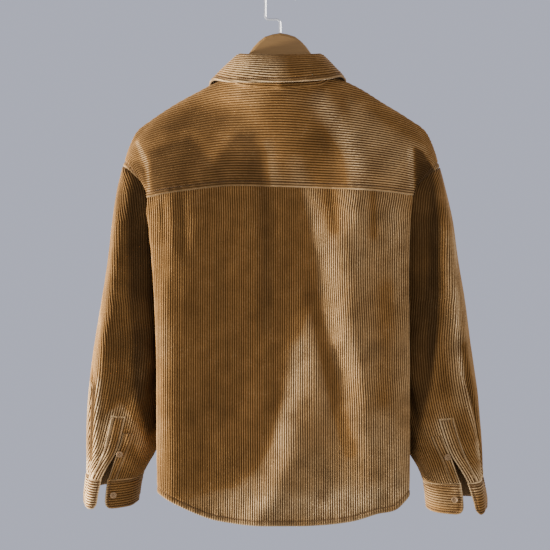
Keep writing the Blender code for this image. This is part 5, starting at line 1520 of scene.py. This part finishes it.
def make_collar_pieces():
    """The stand up from the neck, and the leaf over it with a row of stitches by its edge."""
    turns = collar_turns()
    fold, neck, up, out = collar_frames(turns)
    foot = neck - up * UNDER
    u = run_along(fold, 0)
    u = u - u[len(u) // 2]
    ends = np.minimum(u - u[0], u[-1] - u)
    climb = np.linspace(0, 1, STAND_POINTS)[:, None]
    curves = collar_curves([mix(a, b, climb) for a, b in zip(foot, fold)], u,
                           lambda run, k: (run, np.full(len(run), ends[k])))
    stand = shell("collar_stand_cloth", [curves], (TUCKED, PLAIN), NECK_MIDDLE, STAND_THICK,
                  painted_light_tone("plain"), seed=41)
    edge = evened_line(collar_point(turns, "edge"))
    turned = [fold + up * rise + out * reach for rise, reach in LEAF_TURN]
    belly = out * leaf_belly(turns)[:, None]
    turned += [mix(turned[-1], edge, r) + belly * math.sin(math.pi * r) for r in steps(LEAF_POINTS - 1)]
    leaf_points = np.stack(turned, axis=1)
    curves = collar_curves(leaf_points, u,
                           lambda run, k: (np.minimum(run[-1] - run, ends[k] * LEAF_END),))
    leaf = shell("collar_leaf_cloth", [curves], (LEAF_EDGE,), NECK_MIDDLE, DOUBLE,
                 painted_light_tone("collar", size=0.05), seed=42)
    normals = np.cross(np.gradient(leaf_points, axis=0), np.gradient(leaf_points, axis=1))
    normals /= np.linalg.norm(normals, axis=2, keepdims=True)
    if (normals * from_neck(leaf_points)).sum() < 0:
        normals = -normals
    line = []
    for k in range(2, len(turns) - 2):
        run = run_along(leaf_points[k], 0)
        both = np.column_stack([leaf_points[k], normals[k]])
        line.append(read_at(both, run, run[-1] - LEAF_EDGE.stitch))
    line = np.array(line)
    add_stitch(line[:, :3], line[:, 3:])
    return stand, leaf


# ================================================================ scene: stitches
THREAD = 0.00028        # radius of the thread
STITCH = 0.0024         # length of a stitch that shows
STITCH_STEP = 0.0033    # from one stitch to the next
# A stitch's sections: share of its length, height over the cloth and size.
SECTIONS = rows_of("share rise size", [
    (0.00, -0.0009, 0.6),
    (0.15, 0.0000, 1.0),
    (0.50, 0.0004, 1.1),
    (0.85, 0.0000, 1.0),
    (1.00, -0.0009, 0.6),
])


def ring_faces(first, rings, sides):
    """Faces between rings of points, numbered from the first point."""
    faces = []
    for k in range(rings - 1):
        for a in range(sides):
            n = (a + 1) % sides
            low = first + sides * k
            faces.append((low + a, low + n, low + sides + n, low + sides + a))
    return faces


def make_stitches(name, lines):
    """Short rounded dashes of thread along lines on the cloth."""
    shares = np.array(column(SECTIONS, "share"))
    points, faces = [], []
    for line, normals in lines:
        run = run_along(line, 0)
        for start in np.arange(0.001, run[-1] - STITCH, STITCH_STEP):
            at = start + STITCH * shares
            place = read_at(line, run, at)
            out = read_at(normals, run, at)
            out /= np.linalg.norm(out, axis=1, keepdims=True)
            way = place[-1] - place[0]
            way /= max(np.linalg.norm(way), 1e-9)
            side = np.cross(way, out)
            side /= np.linalg.norm(side, axis=1, keepdims=True)
            first = len(points)
            for k, section in enumerate(SECTIONS):
                size = THREAD * section.size
                for a in range(4):
                    angle = math.pi / 4 + a * math.pi / 2
                    points.append(place[k] + out[k] * (section.rise + size * math.sin(angle))
                                  + side[k] * size * math.cos(angle))
            faces += ring_faces(first, len(SECTIONS), 4)
            faces.append((first + 3, first + 2, first + 1, first))
            faces.append(tuple(range(len(points) - 4, len(points))))
    made = new_object(name, points, faces, thread_look)
    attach(made, "root")
    return made


# ================================================================ scene: buttons
BUTTON_SIDES = 40
HOLE_PLACE = 0.00125    # a hole's place on either side of the button's middle
HOLE_RADIUS = 0.00062
ARCH_POINTS = 7         # points of the thread from one hole to the next
ARCH_FOOT = 0.58        # share of the button's thickness over which it lies
ARCH_RISE = 0.0004
ARCH_SINK = 0.0012      # how far its ends go down into the holes
BUTTON_THREAD = 0.00022
BUTTON_SPIN = 0.4       # turn from one button to the next, in radians
# The button's profile from the edge of its back to its dish, as shares of its radius and thickness.
BUTTON_PROFILE = [(0.72, 0.00), (0.90, 0.14), (1.00, 0.45), (0.99, 0.72), (0.93, 0.93),
                  (0.85, 1.00), (0.77, 0.95), (0.70, 0.78), (0.62, 0.66), (0.35, 0.58)]


def button_mesh():
    """A four-hole button with a raised rim and a dished face, from z 0 up."""
    made = bmesh.new()
    turns = [2 * math.pi * k / BUTTON_SIDES for k in range(BUTTON_SIDES)]
    rings = []
    for wide, high in BUTTON_PROFILE:
        radius = wide * BUTTON_RADIUS
        rings.append([made.verts.new((radius * math.cos(turn), radius * math.sin(turn),
                                      high * BUTTON_THICK)) for turn in turns])
    for a, b in zip(rings[:-1], rings[1:]):
        for k in range(BUTTON_SIDES):
            n = (k + 1) % BUTTON_SIDES
            made.faces.new((a[k], a[n], b[n], b[k]))
    made.faces.new(rings[0][::-1])
    made.faces.new(rings[-1])
    mesh = bpy.data.meshes.new("button")
    made.to_mesh(mesh)
    made.free()
    body = bpy.data.objects.new("button_body", mesh)
    bpy.context.collection.objects.link(body)
    for x, y in ((1, 1), (-1, 1), (-1, -1), (1, -1)):
        bpy.ops.mesh.primitive_cylinder_add(vertices=14, radius=HOLE_RADIUS, depth=0.01,
                                            location=(x * HOLE_PLACE, y * HOLE_PLACE, 0))
        drill = bpy.context.object
        cut = body.modifiers.new("hole", "BOOLEAN")
        cut.object = drill
        cut.solver = "EXACT"
        depsgraph = bpy.context.evaluated_depsgraph_get()
        done = bpy.data.meshes.new_from_object(body.evaluated_get(depsgraph))
        body.modifiers.clear()
        body.data = done
        bpy.data.objects.remove(drill, do_unlink=True)
    mesh = body.data
    bpy.data.objects.remove(body, do_unlink=True)
    mesh.shade_smooth()
    mesh.set_sharp_from_angle(angle=math.radians(42))
    return mesh


def button_turn(normal, spin):
    """The axes of a button whose face looks along a normal, turned round it by a spin."""
    normal = normal / np.linalg.norm(normal)
    across = np.cross((0, 0, 1.0), normal)
    across /= np.linalg.norm(across)
    up = np.cross(normal, across)
    x = across * math.cos(spin) + up * math.sin(spin)
    return np.column_stack([x, np.cross(normal, x), normal])


def make_button(node, mesh, spin):
    """A button in its node's place, and the two arches of thread through its holes."""
    place, normal = node_frame(node)
    turn = button_turn(normal, spin)
    copy = mesh.copy()
    copy.name = node + "_sewn"
    points = np.array([v.co[:] for v in mesh.vertices]) @ turn.T + place
    copy.vertices.foreach_set("co", points.ravel())
    copy.update()
    made = bpy.data.objects.new(copy.name, copy)
    bpy.context.collection.objects.link(made)
    copy.materials.clear()
    copy.materials.append(button_look)
    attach(made, "root")
    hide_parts(node)
    xs = np.linspace(-HOLE_PLACE, HOLE_PLACE, ARCH_POINTS)
    arch = BUTTON_THICK * ARCH_FOOT + ARCH_RISE * np.cos(xs / HOLE_PLACE * math.pi / 2)
    arch -= np.where(np.abs(xs) > 0.9 * HOLE_PLACE, ARCH_SINK, 0.0)
    return [np.column_stack([xs, np.full(ARCH_POINTS, y), arch]) @ turn.T + place
            for y in (-HOLE_PLACE, HOLE_PLACE)]


def node_frame(node):
    """The lowest point of a flat round CAD node along its axis, and its axis, which points out."""
    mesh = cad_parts[node].data
    points = np.array([v.co[:] for v in mesh.vertices])
    middle = points.mean(axis=0)
    _, _, axes = np.linalg.svd(points - middle)
    axis = axes[2]
    inside_x = np.sign(middle[0]) * CUFF_MIDDLE[0] if abs(middle[0]) > CHEST_X / 2 else 0.0
    if axis @ (middle - (inside_x, 0, middle[2])) < 0:
        axis = -axis
    low = ((points - middle) @ axis).min()
    return middle + axis * low, axis


def tube(points, faces, path, radius, sides):
    """Add a round tube along a path to lists of points and faces."""
    way = np.gradient(path, axis=0)
    way /= np.maximum(np.linalg.norm(way, axis=1, keepdims=True), 1e-12)
    side = np.cross(way[0], (0.3, 0.5, 0.81))
    first = len(points)
    for place, ahead in zip(path, way):
        side = side - ahead * (side @ ahead)
        side /= np.linalg.norm(side)
        up = np.cross(ahead, side)
        for a in range(sides):
            angle = 2 * math.pi * a / sides
            points.append(place + radius * (side * math.cos(angle) + up * math.sin(angle)))
    faces += ring_faces(first, len(path), sides)
    faces.append(tuple(range(first, first + sides))[::-1])
    faces.append(tuple(range(len(points) - sides, len(points))))


# ================================================================ scene: materials
class Nodes:
    """Short calls for building a material's nodes."""

    def __init__(self, name):
        self.material = bpy.data.materials.new(name)
        self.material.use_nodes = True
        self.tree = self.material.node_tree
        self.shader = self.tree.nodes["Principled BSDF"]
        self.place = self.add("ShaderNodeTexCoord").outputs["Object"]

    def add(self, kind, **settings):
        """A node of a kind, with its settings."""
        node = self.tree.nodes.new(kind)
        for name, value in settings.items():
            setattr(node, name, value)
        return node

    def put(self, value, socket):
        """Set a socket to a number or a colour, or link another node's output to it."""
        if isinstance(value, bpy.types.NodeSocket):
            self.tree.links.new(value, socket)
        elif socket.type == "RGBA":
            socket.default_value = (*value, 1)
        else:
            socket.default_value = value

    def math(self, operation, a, b, clamp=False):
        node = self.add("ShaderNodeMath", operation=operation, use_clamp=clamp)
        self.put(a, node.inputs[0])
        self.put(b, node.inputs[1])
        return node.outputs[0]

    def line(self, value, gain, offset):
        """A value times a gain, with an offset added."""
        return self.math("ADD", self.math("MULTIPLY", value, gain), offset)

    def mix(self, factor, a, b, blend="MIX"):
        node = self.add("ShaderNodeMix", data_type="RGBA", blend_type=blend)
        self.put(factor, node.inputs["Factor"])
        self.put(a, node.inputs[6])
        self.put(b, node.inputs[7])
        return node.outputs[2]

    def noise(self, scale, detail, rough, over=None):
        """Noise over the object's place, or over other coordinates."""
        node = self.add("ShaderNodeTexNoise")
        self.put(scale, node.inputs["Scale"])
        self.put(detail, node.inputs["Detail"])
        self.put(rough, node.inputs["Roughness"])
        self.put(over or self.place, node.inputs["Vector"])
        return node.outputs[0]

    def stretched(self, vector, scales):
        node = self.add("ShaderNodeMapping")
        self.put(scales, node.inputs["Scale"])
        self.put(vector, node.inputs["Vector"])
        return node.outputs[0]

    def attribute(self, name):
        """An attribute of the points, and its three parts."""
        vector = self.add("ShaderNodeAttribute", attribute_name=name).outputs["Vector"]
        split = self.add("ShaderNodeSeparateXYZ")
        self.put(vector, split.inputs[0])
        return vector, split.outputs

    def finish(self, colour, rough, **others):
        """Set the shader's inputs, with _ for a space in their names."""
        self.put(colour, self.shader.inputs["Base Color"])
        self.put(rough, self.shader.inputs["Roughness"])
        for name, value in others.items():
            self.put(value, self.shader.inputs[name.replace("_", " ")])
        return self.material

    def bump(self, height, strength, distance):
        node = self.add("ShaderNodeBump")
        self.put(strength, node.inputs["Strength"])
        self.put(distance, node.inputs["Distance"])
        self.put(height, node.inputs["Height"])
        self.put(node.outputs[0], self.shader.inputs["Normal"])


BLACK = (0.0, 0.0, 0.0)
RIDGE_BROWN = (0.220, 0.108, 0.0290)
PAINTED_HIGHLIGHT_PALE = (0.285, 0.325, 0.235)   # painted highlight that a tone over 1 adds to the ridges
# the valleys' colour: the base weave between the wales, darkened further as painted shade in the
# grooves
VALLEY_BROWN = (0.020, 0.0075, 0.0019)
WORN_TAN = (0.400, 0.270, 0.135)
INSIDE_BROWN = (0.120, 0.066, 0.026)
SHEEN_TINT = (1.0, 0.80, 0.55)
# the thread's dark brown is painted shade of the stitch grooves; its pale brown is near the cloth's own
# colour
THREAD_SHADED_BROWNS = ((0.090, 0.042, 0.015), (0.230, 0.120, 0.048))
HORN_BROWNS = ((0.110, 0.060, 0.024), (0.330, 0.205, 0.100))
HORN_FLECK = (0.20, 0.125, 0.060)
WOOD_BROWNS = ((0.135, 0.066, 0.018), (0.295, 0.168, 0.054))
WOOD_FLECK = (0.100, 0.044, 0.012)
STEEL_GREYS = ((0.62, 0.61, 0.60), (0.86, 0.85, 0.83))
FLOOR_GREYS = ((0.50, 0.52, 0.54), (0.56, 0.58, 0.60))


def make_cloth_look():
    """Corduroy: dark valleys, ridges with tufts, painted light and shade from the tone with a pale
    painted highlight on the ridges, and tan where worn.
    """
    n = Nodes("corduroy")
    wale, (_, _, height) = n.attribute("wale")
    _, (shade, worn, inside) = n.attribute("tone")
    speck = n.noise(420.0, 4.0, 0.6)
    tuft = n.noise(1.0, 3.0, 0.6, n.stretched(wale, (300.0, 420.0, 0.0)))
    blotch = n.noise(34.0, 3.0, 0.6)
    streak = n.noise(1.0, 3.0, 0.6, n.stretched(wale, (9.0, 150.0, 0.0)))
    # over 1 the tone is painted light, under 1 it is painted shade
    painted_lit = n.math("SUBTRACT", shade, 1.0, clamp=True)
    painted_dark = n.math("MULTIPLY", n.math("SUBTRACT", 1.04, shade), 0.9, clamp=True)
    pile = n.math("ADD", height, n.math("MULTIPLY", n.math("SUBTRACT", tuft, 0.5), 0.6))
    # the wales show more contrast under painted light and less under painted shade
    pile = n.math("POWER", n.math("MAXIMUM", pile, 0.0), n.line(painted_lit, 4.2, 1.3), clamp=True)
    pile = n.math("MAXIMUM", pile, n.math("MULTIPLY", painted_dark, 0.6))
    rub = n.math("SUBTRACT", n.math("ADD", speck, n.math("MULTIPLY", blotch, 0.5)), 0.82)
    rub = n.math("MULTIPLY", n.math("MULTIPLY", rub, 1.4, clamp=True), pile)
    worn = n.math("MULTIPLY", n.math("MULTIPLY", worn, 0.75), n.line(speck, 0.9, 0.25))
    worn = n.math("ADD", rub, worn, clamp=True)
    colour = n.mix(worn, n.mix(pile, VALLEY_BROWN, RIDGE_BROWN), WORN_TAN)
    # the colour is dimmed by the painted shade and lifted by the painted light, and varies at random in
    # blotches and streaks
    painted_shade_and_tone = n.math("ADD", shade, n.math("MULTIPLY", painted_lit, 1.1))
    painted_shade_and_tone = n.math("MULTIPLY", painted_shade_and_tone, n.line(blotch, 0.60, 0.70))
    painted_shade_and_tone = n.math("MULTIPLY", painted_shade_and_tone, n.line(streak, 0.50, 0.80))
    dim = n.add("ShaderNodeVectorMath", operation="SCALE")
    n.put(colour, dim.inputs[0])
    n.put(painted_shade_and_tone, dim.inputs["Scale"])
    # a pale painted highlight on the ridges where the tone is over 1
    painted_highlight = n.mix(n.math("MULTIPLY", painted_lit, pile), BLACK, PAINTED_HIGHLIGHT_PALE)
    colour = n.mix(1.0, dim.outputs[0], painted_highlight, "ADD")
    colour = n.mix(inside, colour, INSIDE_BROWN)
    fibre = n.noise(1500.0, 3.0, 0.65)
    n.bump(n.math("ADD", n.math("MULTIPLY", fibre, 0.5), n.math("MULTIPLY", tuft, 0.7)), 0.55, 0.0006)
    # the sheen fades with the painted shade
    flat = n.math("POWER", shade, 2.0, clamp=True)
    sheen = n.math("MULTIPLY", n.math("MULTIPLY", flat, pile), 0.16)
    return n.finish(colour, 0.92, Specular_IOR_Level=n.math("MULTIPLY", pile, 0.15),
                    Sheen_Weight=sheen, Sheen_Roughness=0.50, Sheen_Tint=SHEEN_TINT)


def make_thread_look():
    n = Nodes("topstitch_thread")
    twist = n.noise(2600.0, 2.0, 0.5)
    n.bump(twist, 0.4, 0.0002)
    return n.finish(n.mix(twist, *THREAD_SHADED_BROWNS), 0.6)


def make_button_look():
    n = Nodes("button_horn")
    veins = n.noise(260.0, 4.0, 0.6, n.stretched(n.place, (1.0, 1.0, 3.5)))
    fine = n.noise(1400.0, 2.0, 0.5)
    n.bump(fine, 0.15, 0.0002)
    colour = n.mix(n.math("MULTIPLY", fine, 0.25), n.mix(veins, *HORN_BROWNS), HORN_FLECK)
    return n.finish(colour, n.line(veins, 0.14, 0.44), Specular_IOR_Level=0.2)


def make_wood_look():
    n = Nodes("hanger_beech")
    bend = n.noise(6.0, 2.0, 0.5)
    grain = n.noise(1.0, 4.0, 0.6, n.stretched(n.place, (14.0, 260.0, 190.0)))
    fleck = n.noise(1.0, 2.0, 0.5, n.stretched(n.place, (120.0, 1800.0, 1300.0)))
    ring = n.math("ADD", n.math("MULTIPLY", grain, 0.75), n.math("MULTIPLY", bend, 0.35))
    n.bump(ring, 0.18, 0.0003)
    colour = n.mix(n.math("MULTIPLY", fleck, 0.3), n.mix(ring, *WOOD_BROWNS), WOOD_FLECK)
    return n.finish(colour, n.line(grain, 0.18, 0.46), Specular_IOR_Level=0.25)


def make_wire_look():
    n = Nodes("hook_steel")
    cloud = n.noise(90.0, 3.0, 0.6)
    n.bump(n.noise(1.0, 2.0, 0.5, n.stretched(n.place, (2200.0, 2200.0, 260.0))), 0.12, 0.0001)
    return n.finish(n.mix(cloud, *STEEL_GREYS), n.line(cloud, 0.16, 0.22), Metallic=1.0)


def make_floor_look():
    n = Nodes("floor_pale")
    return n.finish(n.mix(n.noise(2.0, 3.0, 0.5), *FLOOR_GREYS), 0.85)


# ================================================================ scene: build
cloth_look = make_cloth_look()
thread_look = make_thread_look()
button_look = make_button_look()
wood_look = make_wood_look()
wire_look = make_wire_look()

back = evened(body_sheet(-1))
front = body_sheet(1)
cloth = {}
cloth["back_panel"] = make_back_panel(back)
cloth["back_yoke"] = make_yoke_piece(back, front)
cloth["front_left"] = make_front_panel(front, -1)
cloth["front_right"] = make_front_panel(front, 1)
cloth["front_band"] = make_band_piece(front)
cloth["collar_stand"], cloth["collar_leaf"] = make_collar_pieces()
for side, name in ((-1, "left"), (1, "right")):
    arm = arm_sheet(side, back, front)
    cloth["sleeve_" + name] = make_sleeve_piece(side, back, front, arm)
    cloth["tower_placket_" + name] = make_tower(side, arm)
    cloth["underlap_" + name] = make_underlap(side, arm)
    cloth["cuff_" + name] = make_cuff_piece(side, arm)
for node, piece in cloth.items():
    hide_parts(node)

make_stitches("topstitching", stitches)

button = button_mesh()
thread_points, thread_faces = [], []
button_nodes = ["front_button_%d" % k for k in range(1, 7)]
for pair in itertools.product(("placket", "cuff"), ("left", "right")):
    button_nodes.append("%s_button_%s" % pair)
for k, node in enumerate(button_nodes):
    for line in make_button(node, button, BUTTON_SPIN * k):
        tube(thread_points, thread_faces, line, BUTTON_THREAD, 5)
button_thread = new_object("button_thread", thread_points, thread_faces, thread_look)
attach(button_thread, "root")

for node, look in (("hanger", wood_look), ("hook", wire_look)):
    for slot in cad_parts[node].material_slots:
        slot.material = look

# ---------------------------------------------------------------- sheets of cloth
# What shows of each cut, in metres, and its area in square metres where it isn't a rectangle.
SheetCut = namedtuple("SheetCut", "width length area", defaults=[None])

# ---------------------------------------------------------------- floor, light, camera
FLOOR_Z = -1.4
FLOOR = [(-3, -3, FLOOR_Z), (3, -3, FLOOR_Z), (3, 2, FLOOR_Z), (-3, 2, FLOOR_Z)]
WORLD_COLOUR = (0.500, 0.520, 0.640, 1)
LIT = np.array([0, 0, -0.5])          # the lights aim here
LENS = 117.36
SENSOR = 36.0
Light = namedtuple("Light", "name place size power colour")
LIGHTS = [
    Light("key", (-3.0, -0.30, -0.90), 0.5, 540, (1.0, 0.97, 0.92)),
    Light("fill", (1.3, -2.7, 0.2), 2.4, 52, (1.0, 0.97, 0.94)),
    Light("front", (2.4, 2.4, 0.5), 1.6, 75, (1.0, 0.97, 0.94)),
]

floor = new_object("floor", FLOOR, [(0, 1, 2, 3)], make_floor_look())

world = bpy.data.worlds.new("studio")
world.use_nodes = True
background = world.node_tree.nodes["Background"]
background.inputs["Color"].default_value = WORLD_COLOUR
background.inputs["Strength"].default_value = 1.0
bpy.context.scene.world = world


def add_light(light):
    lamp = bpy.data.lights.new(light.name, "AREA")
    lamp.shape = "DISK"
    lamp.size = light.size
    lamp.energy = light.power
    lamp.color = light.colour
    made = bpy.data.objects.new(light.name, lamp)
    bpy.context.collection.objects.link(made)
    made.location = light.place
    way = LIT - light.place
    made.rotation_euler = (math.atan2(math.hypot(way[0], way[1]), -way[2]), 0,
                           math.atan2(-way[0], way[1]))


for light in LIGHTS:
    add_light(light)

camera = bpy.data.objects.new("camera", bpy.data.cameras.new("camera"))
bpy.context.collection.objects.link(camera)
camera.location = (CAMERA_X, CAMERA_Y, CAMERA_Z)
camera.rotation_euler = (math.pi / 2, 0, 0)
camera.data.lens = LENS
camera.data.sensor_width = SENSOR
bpy.context.scene.camera = camera
